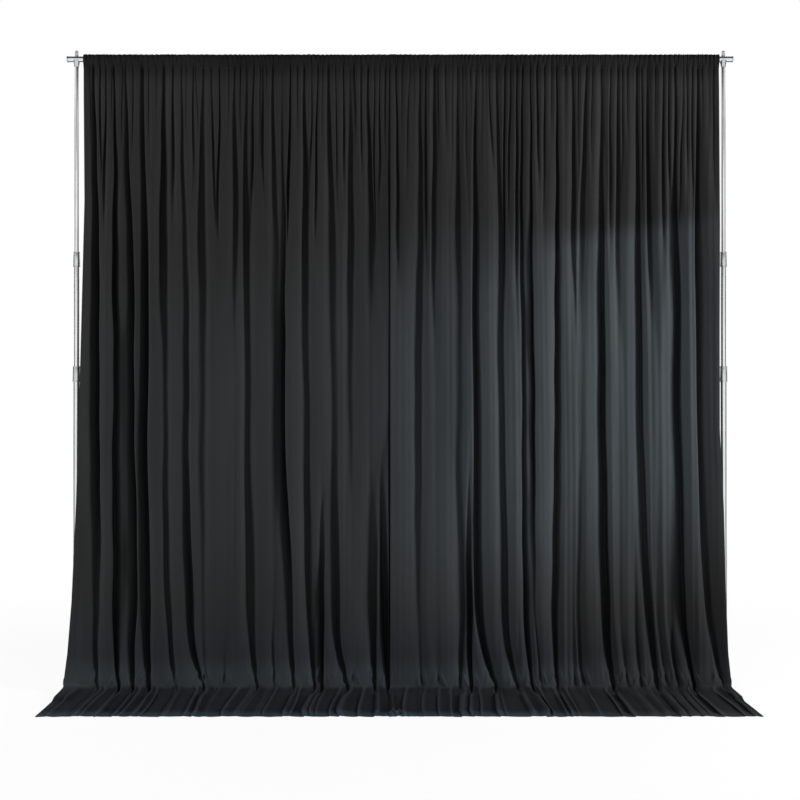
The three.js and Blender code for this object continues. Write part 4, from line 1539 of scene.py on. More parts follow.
    def sheet_of(self, part: Part, grid: Array, normals: Array, down: Array) -> Piece:
        """One length of the panel as a closed sheet with its map and its two attributes.

        Args:
            part: The length of cloth.
            grid: Its points.
            normals: Its unit normals.
            down: Each row's distance along the cloth.

        Returns:
            The sheet.
        """
        fall = self.fall
        across = np.linspace(0.0, fall.cloth_width, self.columns)
        from_side = np.minimum(across, fall.cloth_width - across)
        thickness = np.full(grid.shape[:2], fall.cloth_thickness)
        thickness += fall.cloth_thickness * 0.7 * smoothstep(self.hem_width, self.hem_width * 0.8, from_side)
        if part is Part.TRAIN:
            from_hem = (down[-1] - down)[:, None]
            thickness += fall.cloth_thickness * 0.9 * smoothstep(0.030, 0.026, from_hem)
        weave_map = np.stack(np.broadcast_arrays(across[None, :], down[:, None]), axis=2)
        mesh = closed_sheet(grid, normals, thickness, weave_map)
        # Painted light and shade, and painted blue light, as two attributes; the back face keeps less
        # painted light, and none up high.
        cast, chill = self.cast(grid)
        back = np.minimum(cast, PLAIN_CAST + 0.4 * smoothstep(2.6, 1.4, grid[..., 2]))
        for name, values in (("cast", (cast, back)), ("chill", (chill, chill))):
            attribute = mesh.attributes.new(name, "FLOAT", "POINT")
            both = np.concatenate([layer.ravel() for layer in values])
            attribute.data.foreach_set("value", both.astype(np.float32))
        return new_object(f"{self.side.label}_{part.value}", mesh)

    def cast(self, grid: Array) -> tuple[Array, Array]:
        """The painted light and shade of the cloth at each point of a grid.

        Args:
            grid: The points, by row and column.

        Returns:
            Its tone, 0 painted shade, 0.25 plain black, 1 painted cool light, and how much painted blue
            light it has.
        """
        x, y, z = grid[..., 0], grid[..., 1], grid[..., 2]
        # A painted pool of cool light below a soft slanting edge, weaker to the left.
        softness = mix(0.26, 0.055, smoothstep(0.3, 0.9, x))
        border = LIGHT_EDGE + LIGHT_SLOPE * x
        below = 0.72 * smoothstep(border + softness, border - softness, z)
        below = below + 0.28 * smoothstep(border, border - 0.5, z)
        below = below * mix(0.20, 1.0, smoothstep(-0.7, 1.0, x))
        # It fades towards the floor, sooner on the right, and beside the outer edges.
        right = smoothstep(0.4, 1.0, x)
        low = mix(mix(0.15, 0.02, right), 1.0, smoothstep(0.15, mix(0.80, 1.15, right), z))
        side = mix(1.0, 0.45, smoothstep(1.36, 1.50, x)) * mix(0.5, 1.0, smoothstep(-1.5, -1.25, x))
        # A painted band of light just above the floor, weaker on the right.
        foot = 0.56 * smoothstep(0.20, 0.05, z) * mix(1.0, 0.5, smoothstep(0.7, 1.2, x))
        # Painted shade where the cloth gathers at the top, and low on the right.
        gathered = smoothstep(2.86, 2.965, z)
        plain = PLAIN_CAST - 0.12 * smoothstep(0.9, 0.3, z) * right
        hanging = plain * (1.0 - gathered) + (1.0 - PLAIN_CAST) * np.maximum(below * low * side, foot)
        # On the floor the cloth is painted in shade, with painted light towards the front hem, weaker on the
        # right.
        hem = smoothstep(self.fall.front_hem + 0.10, self.fall.front_hem + 0.015, y)
        laid = 0.10 + 0.72 * hem * mix(1.0, 0.45, smoothstep(0.6, 1.1, x))
        # Painted highlights on the creases' tops and painted shade at their feet.
        light, dark = self.crease_gains
        laid = laid + np.maximum(self.crease_highlight_and_shade, 0.0) * light + np.minimum(self.crease_highlight_and_shade, 0.0) * dark
        # Painted blue light low on the hanging cloth and on the cloth that lies on the floor.
        on_floor = smoothstep(0.034, 0.014, z) * smoothstep(0.10, 0.04, y)
        low_blue_light = 0.5 * smoothstep(0.45, 0.15, z) * mix(0.58, 1.0, smoothstep(0.04, 0.15, z))
        low_blue_light = low_blue_light * mix(1.0, 0.6, smoothstep(0.4, 1.2, x))
        laid_blue_light = mix(0.45, 0.70, hem) * mix(1.0, 0.45, smoothstep(0.1, 0.8, x))
        return mix(hanging, laid, on_floor), mix(low_blue_light, laid_blue_light, on_floor)


def grid_normals(grid: Array) -> Array:
    """The unit normals of a grid of points, towards the front of the hanging cloth.

    Args:
        grid: The points, by row and column.

    Returns:
        One normal for each point.
    """
    across = np.gradient(grid, axis=1)
    down = np.gradient(grid, axis=0)
    normals = np.cross(down, across)
    lengths = np.linalg.norm(normals, axis=2, keepdims=True)
    return normals / np.maximum(lengths, 1e-12)


def closed_sheet(grid: Array, normals: Array, thickness: Array, cloth_map: Array) -> Mesh:
    """A grid of points made into a thin closed sheet with a front, a back and rims.

    Args:
        grid: The middle surface's points, by row and column.
        normals: Its unit normals.
        thickness: The sheet's thickness at each point.
        cloth_map: The cloth's own coordinates in metres at each point.

    Returns:
        The mesh, with the map "cloth" and with the grid's own normals.
    """
    rows, columns, _ = grid.shape
    count = rows * columns
    half = thickness[..., None] / 2
    points = np.concatenate([(grid + normals * half).reshape(-1, 3), (grid - normals * half).reshape(-1, 3)])
    index = np.arange(count).reshape(rows, columns)
    a, b, c, d = index[:-1, :-1], index[1:, :-1], index[1:, 1:], index[:-1, 1:]
    front = np.stack([a, b, c, d], axis=2).reshape(-1, 4)
    back = front[:, ::-1] + count
    ring = np.concatenate([index[0, :], index[1:, -1], index[-1, -2::-1], index[-2:0:-1, 0]])
    after = np.roll(ring, -1)
    rim = np.stack([ring, after, after + count, ring + count], axis=1)
    faces = np.concatenate([front, back, rim])
    mesh = bpy.data.meshes.new("sheet")
    mesh.vertices.add(len(points))
    mesh.vertices.foreach_set("co", points.astype(np.float32).ravel())
    mesh.loops.add(faces.size)
    mesh.loops.foreach_set("vertex_index", faces.astype(np.int32).ravel())
    mesh.polygons.add(len(faces))
    mesh.polygons.foreach_set("loop_start", np.arange(0, faces.size, 4, dtype=np.int32))
    mesh.update(calc_edges=True)
    layer = mesh.uv_layers.new(name="cloth")
    both_maps = np.tile(cloth_map.reshape(-1, 2), (2, 1))
    layer.data.foreach_set("uv", both_maps[faces.ravel()].astype(np.float32).ravel())
    mesh.shade_smooth()
    flat_normals = normals.reshape(-1, 3)
    corner_a, corner_b, corner_d = points[rim[:, 0]], points[rim[:, 1]], points[rim[:, 3]]
    rim_normals = np.cross(corner_b - corner_a, corner_d - corner_a)
    rim_normals /= np.maximum(np.linalg.norm(rim_normals, axis=1, keepdims=True), 1e-12)
    face_normals = [flat_normals[front.ravel()], -flat_normals[(back - count).ravel()]]
    loop_normals = np.concatenate([*face_normals, np.repeat(rim_normals, 4, axis=0)])
    mesh.normals_split_custom_set(loop_normals.tolist())
    return mesh


def middle_of(node: str) -> Vector:
    """The middle of a frame node's box."""
    low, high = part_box(node)
    return (low + high) / 2


def floor_place(node: str) -> Vector:
    """The point at height 0 under the middle of a frame node's box."""
    return Vector((*middle_of(node).xy, 0.0))


def axis_rod(
    radius: float, place: Vector, axis: Axis, start: float, end: float, sides: int = SMALL_SIDES
) -> Piece:
    """A plain round bar, for cutting or joining."""
    return turned("tool", rod_profile(radius, start, end), place, axis, sides)


def new_growth(name: str, inputs: dict[str, str]) -> tuple[Tree, bpy.types.Node]:
    """An empty geometry node tree with its inputs.

    Args:
        name: The tree's name.
        inputs: Each input's name with its kind.

    Returns:
        The tree and the node that gives its inputs.
    """
    tree = bpy.data.node_groups.new(name, "GeometryNodeTree")
    for label, kind in {**inputs, "Material": "Material"}.items():
        tree.interface.new_socket(label, in_out="INPUT", socket_type=f"NodeSocket{kind}")
    tree.interface.new_socket("Geometry", in_out="OUTPUT", socket_type="NodeSocketGeometry")
    return tree, add_node(tree, "NodeGroupInput")


def lay_beads(
    tree: Tree, material: Socket, facets: tuple[int, int], radius: Socket, stretch: Socket, **spots: Socket
) -> None:
    """Ends a tree in beads, each drawn out along its own Z, as real smooth meshes.

    Args:
        tree: The tree.
        material: The beads' material.
        facets: A bead's facets round it and along it.
        radius: A bead's radius.
        stretch: How much longer than round a bead is.
        spots: Where the beads lie: Points, and Rotation where they turn.
    """
    round_bead = {"Segments": facets[0], "Rings": facets[1], "Radius": radius}
    bead = add_node(tree, "GeometryNodeMeshUVSphere", round_bead).outputs["Mesh"]
    size = add_node(tree, "ShaderNodeCombineXYZ", {"X": 1.0, "Y": 1.0, "Z": stretch}).outputs["Vector"]
    laid = add_node(tree, "GeometryNodeInstanceOnPoints", {**spots, "Instance": bead, "Scale": size})
    smooth = add_node(tree, "GeometryNodeSetShadeSmooth", {"Geometry": laid.outputs["Instances"]})
    real = add_node(tree, "GeometryNodeRealizeInstances", {"Geometry": smooth.outputs["Geometry"]})
    dressing = {"Geometry": real.outputs["Geometry"], "Material": material}
    dressed = add_node(tree, "GeometryNodeSetMaterial", dressing)
    add_node(tree, "NodeGroupOutput", {"Geometry": dressed.outputs["Geometry"]})


def rib_tree() -> Tree:
    """Geometry nodes that lay a row of grip ribs, each shorter than the one before.

    Returns:
        The tree, with inputs for the count, the pitch, the rib's size and the material.
    """
    sizes = dict.fromkeys(("Pitch", "Rib Radius", "Rib Length", "Taper"), "Float")
    tree, given = new_growth("grip_ribs", {"Count": "Int", **sizes})
    sockets = given.outputs
    step = add_node(tree, "ShaderNodeCombineXYZ", {"X": sockets["Pitch"]}).outputs["Vector"]
    row = add_node(tree, "GeometryNodeMeshLine", {"Count": sockets["Count"], "Offset": step}).outputs["Mesh"]
    index = add_node(tree, "GeometryNodeInputIndex").outputs["Index"]
    shrink = math_value(tree, "MULTIPLY", index, sockets["Taper"])
    length = math_value(tree, "SUBTRACT", sockets["Rib Length"], shrink)
    lay_beads(tree, sockets["Material"], (16, 8), sockets["Rib Radius"], length, Points=row)
    return tree


def stitch_tree() -> Tree:
    """Geometry nodes that sew a row of stitches along each line of a wire mesh.

    Returns:
        The tree, with inputs for the pitch, the stitch's length, the thread's radius and the
        material.
    """
    sizes = dict.fromkeys(("Pitch", "Stitch Length", "Thread Radius"), "Float")
    tree, given = new_growth("stitch_row", {"Geometry": "Geometry", **sizes})
    sockets = given.outputs
    curve = add_node(tree, "GeometryNodeMeshToCurve", {"Mesh": sockets["Geometry"]}).outputs["Curve"]
    along = {"Curve": curve, "Length": sockets["Pitch"]}
    spots = add_node(tree, "GeometryNodeCurveToPoints", along, mode="LENGTH").outputs
    radius = sockets["Thread Radius"]
    stretch = math_value(tree, "DIVIDE", sockets["Stitch Length"], math_value(tree, "MULTIPLY", radius, 2.0))
    material, facets = sockets["Material"], (6, 4)
    lay_beads(tree, material, facets, radius, stretch, Points=spots["Points"], Rotation=spots["Rotation"])
    return tree


def grown(name: str, base: Mesh, tree: Tree, values: dict[str, object]) -> Piece:
    """Runs a node tree on a mesh and keeps what it makes as a plain mesh.

    Args:
        name: The new piece's name.
        base: The mesh that the tree starts from.
        tree: The tree.
        values: The tree's inputs by name.

    Returns:
        The piece, with no modifier.
    """
    piece = new_object(name, base)
    step = piece.modifiers.new("grow", "NODES")
    step.node_group = tree
    for item in tree.interface.items_tree:
        if item.item_type == "SOCKET" and item.in_out == "INPUT" and item.name in values:
            step[item.identifier] = values[item.name]
    return settled(piece)


@dataclass
class Foot:
    """One flat steel foot on its two rubber pads, with the spigot's flange on top."""

    side: Side
    finishes: Finishes
    corner: float = 0.012
    edge_rounding: float = 0.0012
    bolt_hole: float = 0.0053
    bolt_recess: float = 0.0093
    recess_depth: float = 0.0056
    pad_corner: float = 0.006
    pad_rounding: float = 0.0006
    flange_height: float = 0.006
    flange_radius: float = 0.020
    spigot_radius: float = 0.0149
    spigot_chamfer: float = 0.003
    bolt_reach: float = 0.0306

    def build(self) -> None:
        """Makes the foot, its pads and its spigot."""
        self.plate()
        for end in ("front", "back"):
            node = f"{self.side.label}_{end}_foot_pad"
            pad = soften(self.slab(node, "rubber", self.pad_corner), self.pad_rounding, 2)
            self.finishes.hand_over(pad, "ground_frame", Slot.RUBBER, node)
        self.spigot()

    def slab(self, node: str, ending: str, corner: float) -> Piece:
        """A flat plate with round corners, as large as a frame node's box.

        Args:
            node: The frame's node.
            ending: The word that the plate's name ends with.
            corner: The corners' radius.

        Returns:
            The plate, in its place.
        """
        low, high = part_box(node)
        mesh = outline_plate(rounded_rectangle(high.x - low.x, high.y - low.y, corner), low.z, high.z)
        mesh.transform(Matrix.Translation(floor_place(node)))
        return new_object(f"{node}_{ending}", mesh)

    def plate(self) -> None:
        """The flat bar, drilled and counterbored from below for the spigot's bolt."""
        node = f"{self.side.label}_foot"
        low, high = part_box(node)
        piece = self.slab(node, "bar", self.corner)
        centre = floor_place(node)
        hole = axis_rod(self.bolt_hole, centre, Axis.Z, low.z - CUT_OVERRUN, high.z + CUT_OVERRUN)
        recess = axis_rod(self.bolt_recess, centre, Axis.Z, low.z - CUT_OVERRUN, low.z + self.recess_depth)
        combine(piece, [(hole, "DIFFERENCE"), (recess, "DIFFERENCE")])
        soften(piece, self.edge_rounding, 3)
        self.finishes.hand_over(piece, "ground_frame", Slot.POWDER, node)

    def spigot(self) -> None:
        """The spigot, bored from below for its bolt, with its flange on the foot."""
        node = f"{self.side.label}_spigot"
        low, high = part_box(node)
        edge = self.edge_rounding
        flange_top = low.z + self.flange_height
        profile = [
            (0.0, low.z + self.bolt_reach),
            (self.bolt_hole, low.z + self.bolt_reach),
            (self.bolt_hole, low.z),
            (self.flange_radius, low.z),
            *arc((self.flange_radius - edge, flange_top - edge), edge, 0, 90, 4),
            (self.spigot_radius + edge, flange_top),
            (self.spigot_radius, flange_top + edge),
            (self.spigot_radius, high.z - self.spigot_chamfer),
            (self.spigot_radius - self.spigot_chamfer, high.z),
            (0.0, high.z),
        ]
        piece = turned(f"{node}_turned", profile, floor_place(node))
        self.finishes.hand_over(piece, "ground_frame", Slot.ZINC, node)


@dataclass(frozen=True)
class TubeSize:
    """A tube's radius and wall."""

    radius: float
    wall: float


LOWER_TUBE = TubeSize(0.0165, 0.0013)
MIDDLE_TUBE = TubeSize(0.01375, 0.0013)
TOP_TUBE = TubeSize(0.0111, 0.0012)
BAR_TUBE = TubeSize(0.0135, 0.0015)


@dataclass
class Upright:
    """One telescopic upright: three tubes, two clamp collars, the saddle fitting and its nut."""

    side: Side
    finishes: Finishes
    socket_lower: float = 0.032
    socket_upper: float = 0.030
    running: float = 0.00035
    seat: float = 0.0003
    collar_wall: float = 0.0032
    collar_taper: float = 0.0012
    bead_height: float = 0.004
    bead_proud: float = 0.0007
    boss_radius: float = 0.008
    boss_reach: float = 0.005
    screw_radius: float = 0.0031
    paddle_hub: float = 0.0085
    paddle_tip: float = 0.0045
    paddle_length: float = 0.024
    paddle_thickness: float = 0.008
    paddle_rim: float = 0.0016
    rivet_hole: float = 0.0021
    stud_hole: float = 0.0043
    saddle_rim: float = 0.004
    collar_edge: float = 0.0009
    collar_groove: float = 0.0006
    boss_rounding: float = 0.0012
    boss_depth: float = 0.0022  # how far inside the collar the boss starts, from the inner tube
    paddle_ribs: int = 5
    rib_pitch: float = 0.0027
    hollow_floor: float = 0.0004
    nut_dome: float = 0.004
    nut_thread: float = 0.0163
    flutes: int = 8
    flute_facets: int = 12
    flute_depth: float = 0.0009
    name: str = field(init=False)
    axis: Vector = field(init=False)
    bar_height: float = field(init=False)

    def __post_init__(self) -> None:
        """Finds the upright's axis and the bar's axis in the frame."""
        self.name = self.side.label
        axis = middle_of(f"{self.name}_lower_tube")
        self.axis = Vector((axis.x, middle_of(f"{self.name}_spigot").y, 0.0))
        self.bar_height = middle_of("crossbar_middle_section").z

    def build(self) -> None:
        """Makes every piece of the upright above its foot."""
        middle = f"{self.name}_middle"
        self.tube("lower_tube", LOWER_TUBE, "ground_frame", True)
        self.tube("middle_tube", MIDDLE_TUBE, middle, False)
        self.tube("top_tube", TOP_TUBE, "head", False)
        self.rivet()
        self.collar("lower_collar", self.socket_lower, LOWER_TUBE, MIDDLE_TUBE, "ground_frame")
        self.collar("upper_collar", self.socket_upper, MIDDLE_TUBE, TOP_TUBE, middle)
        down = math.radians(-90)
        outwards = 0.0 if self.side is Side.RIGHT else down
        self.paddle(Level.LOWER, LOWER_TUBE, down)
        self.paddle(Level.UPPER, MIDDLE_TUBE, outwards)
        self.saddle()
        self.washer()
        self.hand_nut()

    def tube(self, part: str, size: TubeSize, body: str, riveted: bool) -> None:
        """One of the three tubes, with rounded mouths.

        Args:
            part: The frame node's name without its side.
            size: The tube's size.
            body: The body that it rides on.
            riveted: Whether it is drilled at the back for the stop rivet.
        """
        node = f"{self.name}_{part}"
        low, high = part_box(node)
        piece = turned(f"{node}_drawn", tube_profile(size.radius, size.wall, low.z, high.z), self.axis)
        if riveted:
            place = Vector((self.axis.x, self.axis.y, middle_of(f"{self.name}_stop_rivet").z))
            hole = axis_rod(self.rivet_hole, place, Axis.Y, 0.0, size.radius + CUT_OVERRUN)
            combine(piece, [(hole, "DIFFERENCE")])
            shade(piece.data)
        self.finishes.hand_over(piece, body, Slot.TUBE, node)

    def rivet(self) -> None:
        """The domed rivet behind the lower tube that stops the middle tube's guide."""
        node = f"{self.name}_stop_rivet"
        low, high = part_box(node)
        head = (high.x - low.x) / 2
        head_start = LOWER_TUBE.radius + self.seat
        reach = high.y - self.axis.y
        rise = reach - head_start
        angles = np.linspace(0, math.pi / 2, 7)[:-1]
        dome = [(head * math.cos(a), head_start + rise * math.sin(a)) for a in angles]
        shank, foot = self.rivet_hole - self.seat, low.y - self.axis.y
        profile = [(0.0, foot), (shank, foot), (shank, head_start), *dome, (0.0, reach)]
        place = Vector((self.axis.x, self.axis.y, (low.z + high.z) / 2))
        piece = turned(f"{node}_domed", profile, place, Axis.Y, SMALL_SIDES)
        self.finishes.hand_over(piece, "ground_frame", Slot.ZINC, node)

    def collar(self, part: str, socket: float, outer: TubeSize, inner: TubeSize, body: str) -> None:
        """A clamp collar on a tube's mouth: beaded ends, a tapered body and the screw's boss.

        Args:
            part: The frame node's name without its side.
            socket: How far the collar reaches down over the outer tube.
            outer: The tube that carries the collar.
            inner: The tube that slides in it.
            body: The body that the collar rides on.
        """
        node = f"{self.name}_{part}"
        low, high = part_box(node)
        bottom, top = low.z, high.z
        mouth = bottom + socket
        clamp = mouth + (top - mouth) / 2
        wide = outer.radius + self.collar_wall
        narrow = wide - self.collar_taper
        proud, height = self.bead_proud, self.bead_height
        edge, groove = self.collar_edge, self.collar_groove
        bore = inner.radius + self.running
        body_profile = [
            (outer.radius + self.seat, mouth + self.seat),
            (outer.radius + self.seat, bottom),
            *arc((wide + proud - edge, bottom + edge), edge, -90, 0, 4),
            *arc((wide + proud - edge, bottom + height - edge), edge, 0, 70, 4),
            (wide - groove, bottom + height + 0.4 * edge),
            (wide - groove, bottom + height + edge),
            (wide, bottom + height + 2.2 * edge),
            (narrow, top - height - 2.2 * edge),
            (narrow - groove, top - height - edge),
            (narrow - groove, top - height - 0.4 * edge),
            *arc((narrow + proud - edge, top - height + edge), edge, -70, 0, 4),
            *arc((narrow + proud - edge, top - edge), edge, 0, 90, 4),
            (bore, top),
            (bore, mouth + self.seat),
        ]
        piece = turned(f"{node}_cast", body_profile, self.axis)
        place = Vector((self.axis.x, self.axis.y, clamp))
        boss_end = wide + self.boss_reach
        rounding = self.boss_rounding
        boss_start = inner.radius + self.boss_depth
        boss_profile = [
            (0.0, boss_start),
            (self.boss_radius, boss_start),
            *arc((self.boss_radius - rounding, boss_end - rounding), rounding, 0, 90, 4),
            (0.0, boss_end),
        ]
        boss = turned("tool", boss_profile, place, Axis.Y, SMALL_SIDES)
        hole = axis_rod(self.screw_radius + self.seat, place, Axis.Y, 0.0, boss_end + CUT_OVERRUN)
        combine(piece, [(boss, "UNION"), (hole, "DIFFERENCE")])
        shade(piece.data)
        self.finishes.hand_over(piece, body, Slot.CAST, node)

    def paddle(self, level: Level, outer: TubeSize, turn: float) -> None:
        """A clamp screw whose paddle head is ribbed for the thumb.

        Args:
            level: The clamp that it tightens.
            outer: The tube that carries the screw's collar.
            turn: The paddle's angle from +X, in radians.
        """
        clamp = f"{self.name}_{level.value}_clamp"
        node = f"{clamp}_screw"
        shank_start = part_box(node)[0].y - self.axis.y
        height = middle_of(f"{clamp}_shoe").z
        start = outer.radius + self.collar_wall + self.boss_reach + self.seat
        top = start + self.paddle_thickness
        rim, floor = self.paddle_rim, top + self.hollow_floor
        piece = new_object(f"{node}_paddle", outline_plate(self.paddle_outline(0.0), start, top))
        raised = new_object("tool", outline_plate(self.paddle_outline(0.0015), start + 0.002, top + rim))
        hollow = new_object("tool", outline_plate(self.paddle_outline(0.0030), floor, top + 2 * rim))
        shank = axis_rod(self.screw_radius, Vector(), Axis.Z, shank_start, start + 0.004)
        combine(piece, [(raised, "UNION"), (hollow, "DIFFERENCE"), (shank, "UNION")])
        soften(piece, 0.0005, 2)
        ribs = self.ribs(floor)
        joined = bmesh.new()
        for mesh in (piece.data, ribs.data):
            joined.from_mesh(mesh)
        joined.to_mesh(piece.data)
        joined.free()
        bpy.data.objects.remove(ribs)
        piece.data.transform(Matrix.Rotation(math.radians(-90), 4, "X") @ Matrix.Rotation(-turn, 4, "Z"))
        piece.data.transform(Matrix.Translation((self.axis.x, self.axis.y, height)))
        self.finishes.hand_over(piece, clamp, Slot.PADDLE, node)

    def ribs(self, height: float) -> Piece:
        """The row of thumb ribs in a paddle's hollow, lying across its length.

        Args:
            height: The hollow's floor.

        Returns:
            The ribs.
        """
        values = {
            "Count": self.paddle_ribs,
            "Pitch": self.rib_pitch,
            "Rib Radius": 0.00075,
            "Rib Length": 5.0,
            "Taper": 0.6,
            "Material": self.finishes.of(Slot.PADDLE),
        }
        piece = grown("tool_ribs", bpy.data.meshes.new("row"), rib_tree(), values)
        laid_down = Matrix.Rotation(math.radians(90), 4, "X")
        piece.data.transform(Matrix.Translation((0.0055, 0.0, height)) @ laid_down)
        return piece

    def paddle_outline(self, inset: float) -> Profile:
        """The paddle seen along its screw: a round hub drawn out to a round tip.

        Args:
            inset: How far the outline lies inside the paddle's own.

        Returns:
            The corners, counterclockwise.
        """
        hub, tip = self.paddle_hub - inset, self.paddle_tip - inset
        reach = self.paddle_length - self.paddle_tip
        tangent = math.degrees(math.acos((hub - tip) / reach))
        return [
            *arc((0.0, 0.0), hub, tangent, 360 - tangent, 32),
            *arc((reach, 0.0), tip, -tangent, tangent, 20),
        ]

    def bar_space(self) -> Piece:
        """The crossbar's room in the pieces that hold it, as a tool."""
        bar = Vector((0.0, self.axis.y, self.bar_height))
        return axis_rod(BAR_TUBE.radius + self.seat, bar, Axis.X, -2.0, 2.0, TURNED_SIDES)

    def saddle(self) -> None:
        """The plug in the top tube, with the coned saddle that the crossbar lies in."""
        node = f"{self.name}_top_fitting"
        low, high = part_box(node)
        tube_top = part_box(f"{self.name}_top_tube")[1].z
        plug = TOP_TUBE.radius - TOP_TUBE.wall - self.seat
        rest = tube_top + self.seat
        rim = (high.x - low.x) / 2
        neck = TOP_TUBE.radius + self.seat
        edge = self.collar_edge
        profile = [
            (0.0, low.z),
            (plug - edge, low.z),
            (plug, low.z + 0.003),
            (plug, rest),
            *arc((neck - edge, rest + edge), edge, -90, 0, 3),
            (neck, rest + self.saddle_rim * 0.6),
            (neck + 0.0005, rest + self.saddle_rim),
            (rim - 0.0006, high.z - self.saddle_rim - 0.0006),
            (rim, high.z - self.saddle_rim + 0.0006),
            *arc((rim - edge, high.z - edge), edge, 0, 90, 4),
            (0.0, high.z),
        ]
        piece = turned(f"{node}_cast", profile, self.axis)
        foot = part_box(f"{self.name}_fitting_stud")[0].z
        bore = axis_rod(self.stud_hole, self.axis, Axis.Z, foot - self.seat, high.z + CUT_OVERRUN)
        combine(piece, [(self.bar_space(), "DIFFERENCE"), (bore, "DIFFERENCE")])
        soften(piece, 0.0004, 2)
        self.finishes.hand_over(piece, "head", Slot.CAST, node)

    def washer(self) -> None:
        """The curved washer between the crossbar and the hand nut."""
        node = f"{self.name}_saddle_washer"
        low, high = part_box(node)
        radius = (high.x - low.x) / 2
        piece = turned(f"{node}_turned", rod_profile(radius, low.z, high.z, 0.0006), self.axis)
        hole = axis_rod(self.stud_hole, self.axis, Axis.Z, low.z - CUT_OVERRUN, high.z + CUT_OVERRUN)
        combine(piece, [(self.bar_space(), "DIFFERENCE"), (hole, "DIFFERENCE")])
        shade(piece.data)
        self.finishes.hand_over(piece, "head", Slot.ZINC, node)

    def hand_nut(self) -> None:
        """The domed hand nut, fluted for the fingers."""
        node = f"{self.name}_hand_nut"
        low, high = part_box(node)
        radius = (high.x - low.x) / 2
        dome, edge = self.nut_dome, 0.0008
        turns = np.linspace(0, 1.35, 9)
        crown = [(radius * math.cos(a) ** 0.7, high.z - dome + dome * math.sin(a)) for a in turns]
        thread_top = low.z + self.nut_thread
        levels = [
            (self.stud_hole, thread_top),
            (self.stud_hole, low.z),
            *arc((radius - edge, low.z + edge), edge, -90, 0, 4),
            (radius, low.z + 0.006),
            (radius, high.z - dome - 0.004),
            *crown,
        ]
        sides = self.flutes * self.flute_facets
        angles = [2 * math.pi * i / sides for i in range(sides)]
        form = bmesh.new()
        rings = [[form.verts.new((0.0, 0.0, thread_top))]]
        for ring_radius, height in levels:
            outside = ring_radius > 2 * self.stud_hole * 0.6
            dip = self.flute_depth * (ring_radius / radius) ** 3 / 2 if outside else 0.0
            row = []
            for angle in angles:
                reach = ring_radius - dip * (1 - math.cos(self.flutes * angle))
                row.append(form.verts.new((reach * math.cos(angle), reach * math.sin(angle), height)))
            rings.append(row)
        rings.append([form.verts.new((0.0, 0.0, high.z))])
        skin(form, rings)
        mesh = mesh_from(form, node)
        mesh.transform(Matrix.Translation((self.axis.x, self.axis.y, 0.0)))
        shade(mesh)
        self.finishes.hand_over(new_object(f"{node}_fluted", mesh), f"{self.name}_nut", Slot.CAST, node)


@dataclass
class Crossbar:
    """The three-part crossbar with its two end caps."""

    finishes: Finishes
    stud_hole: float = 0.0043
    button_hole: float = 0.0031
    cap_rounding: float = 0.0012
    cap_flange: float = 0.005
    plug_wall: float = 0.002
    seat: float = 0.0003

    def build(self) -> None:
        """Makes the three sections and the caps."""
        for part in ("left", "middle", "right"):
            self.section(part)
        for side in Side:
            self.cap(side)

    def section(self, part: str) -> None:
        """One section, drilled for its studs and snap buttons.

        Args:
            part: "left", "middle" or "right".
        """
        node = f"crossbar_{part}_section"
        low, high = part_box(node)
        axis = Vector((0.0, (low.y + high.y) / 2, (low.z + high.z) / 2))
        drawn = tube_profile(BAR_TUBE.radius, BAR_TUBE.wall, low.x, high.x)
        piece = turned(f"{node}_drawn", drawn, axis, Axis.X)
        reach = BAR_TUBE.radius + CUT_OVERRUN
        tools = []
        for side in Side:
            stud = middle_of(f"{side.label}_fitting_stud")
            if low.x < stud.x < high.x:
                place = Vector((stud.x, stud.y, axis.z))
                tools.append((axis_rod(self.stud_hole, place, Axis.Z, -reach, reach), "DIFFERENCE"))
            for where in Place:
                button = middle_of(f"{side.label}_{where.value}_snap_button")
                if low.x < button.x < high.x:
                    place = Vector((button.x, button.y, axis.z - BAR_TUBE.radius - CUT_OVERRUN))
                    hole = axis_rod(self.button_hole, place, Axis.Z, 0.0, BAR_TUBE.radius)
                    tools.append((hole, "DIFFERENCE"))
        combine(piece, tools)
        shade(piece.data)
        self.finishes.hand_over(piece, "head", Slot.TUBE, node)

    def cap(self, side: Side) -> None:
        """The flared cap in one end of the crossbar, with its hollow plug.

        Args:
            side: The end that it closes.
        """
        node = f"{side.label}_end_cap"
        low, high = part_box(node)
        middle = (low + high) / 2
        radius = (high.z - low.z) / 2
        plug = BAR_TUBE.radius - BAR_TUBE.wall - self.seat
        length = high.x - low.x
        flange, rounding = self.cap_flange, self.cap_rounding
        profile = [
            (0.0, 0.0),
            (0.5 * radius, 0.0004),
            *arc((radius - rounding, rounding), rounding, -90, 0, 5),
            (radius, flange - 0.0006),
            (radius - 0.0006, flange),
            (plug, flange),
            (plug, length),
            (plug - self.plug_wall, length),
            (plug - self.plug_wall, flange),
            (0.0, flange),
        ]
        outside = high.x if side is Side.RIGHT else low.x
        piece = turned(f"{node}_flared", profile, Vector(), Axis.X)
        if side is Side.RIGHT:
            piece.data.transform(Matrix.Rotation(math.pi, 4, "Z"))
        piece.data.transform(Matrix.Translation((outside, middle.y, middle.z)))
        self.finishes.hand_over(piece, "head", Slot.CAST, node)


HIDDEN_SLOTS = {
    "foot_bolt": Slot.ZINC,
    "clamp_shoe": Slot.BRASS,
    "guide_sleeve": Slot.NYLON,
    "fitting_stud": Slot.ZINC,
    "joining_sleeve": Slot.TUBE,
    "snap_button": Slot.ZINC,
}


def dress_hidden(nodes: dict[str, Piece], finishes: Finishes) -> None:
    """Dresses the frame's own small pieces, which sit inside the others.

    Args:
        nodes: The frame's nodes by name.
        finishes: The materials.
    """
    for name, node in nodes.items():
        for ending, slot in HIDDEN_SLOTS.items():
            if name.endswith(ending):
                dress(node, finishes.of(slot))
                LOG.info("%s keeps its shape, in %s", name, slot.value)


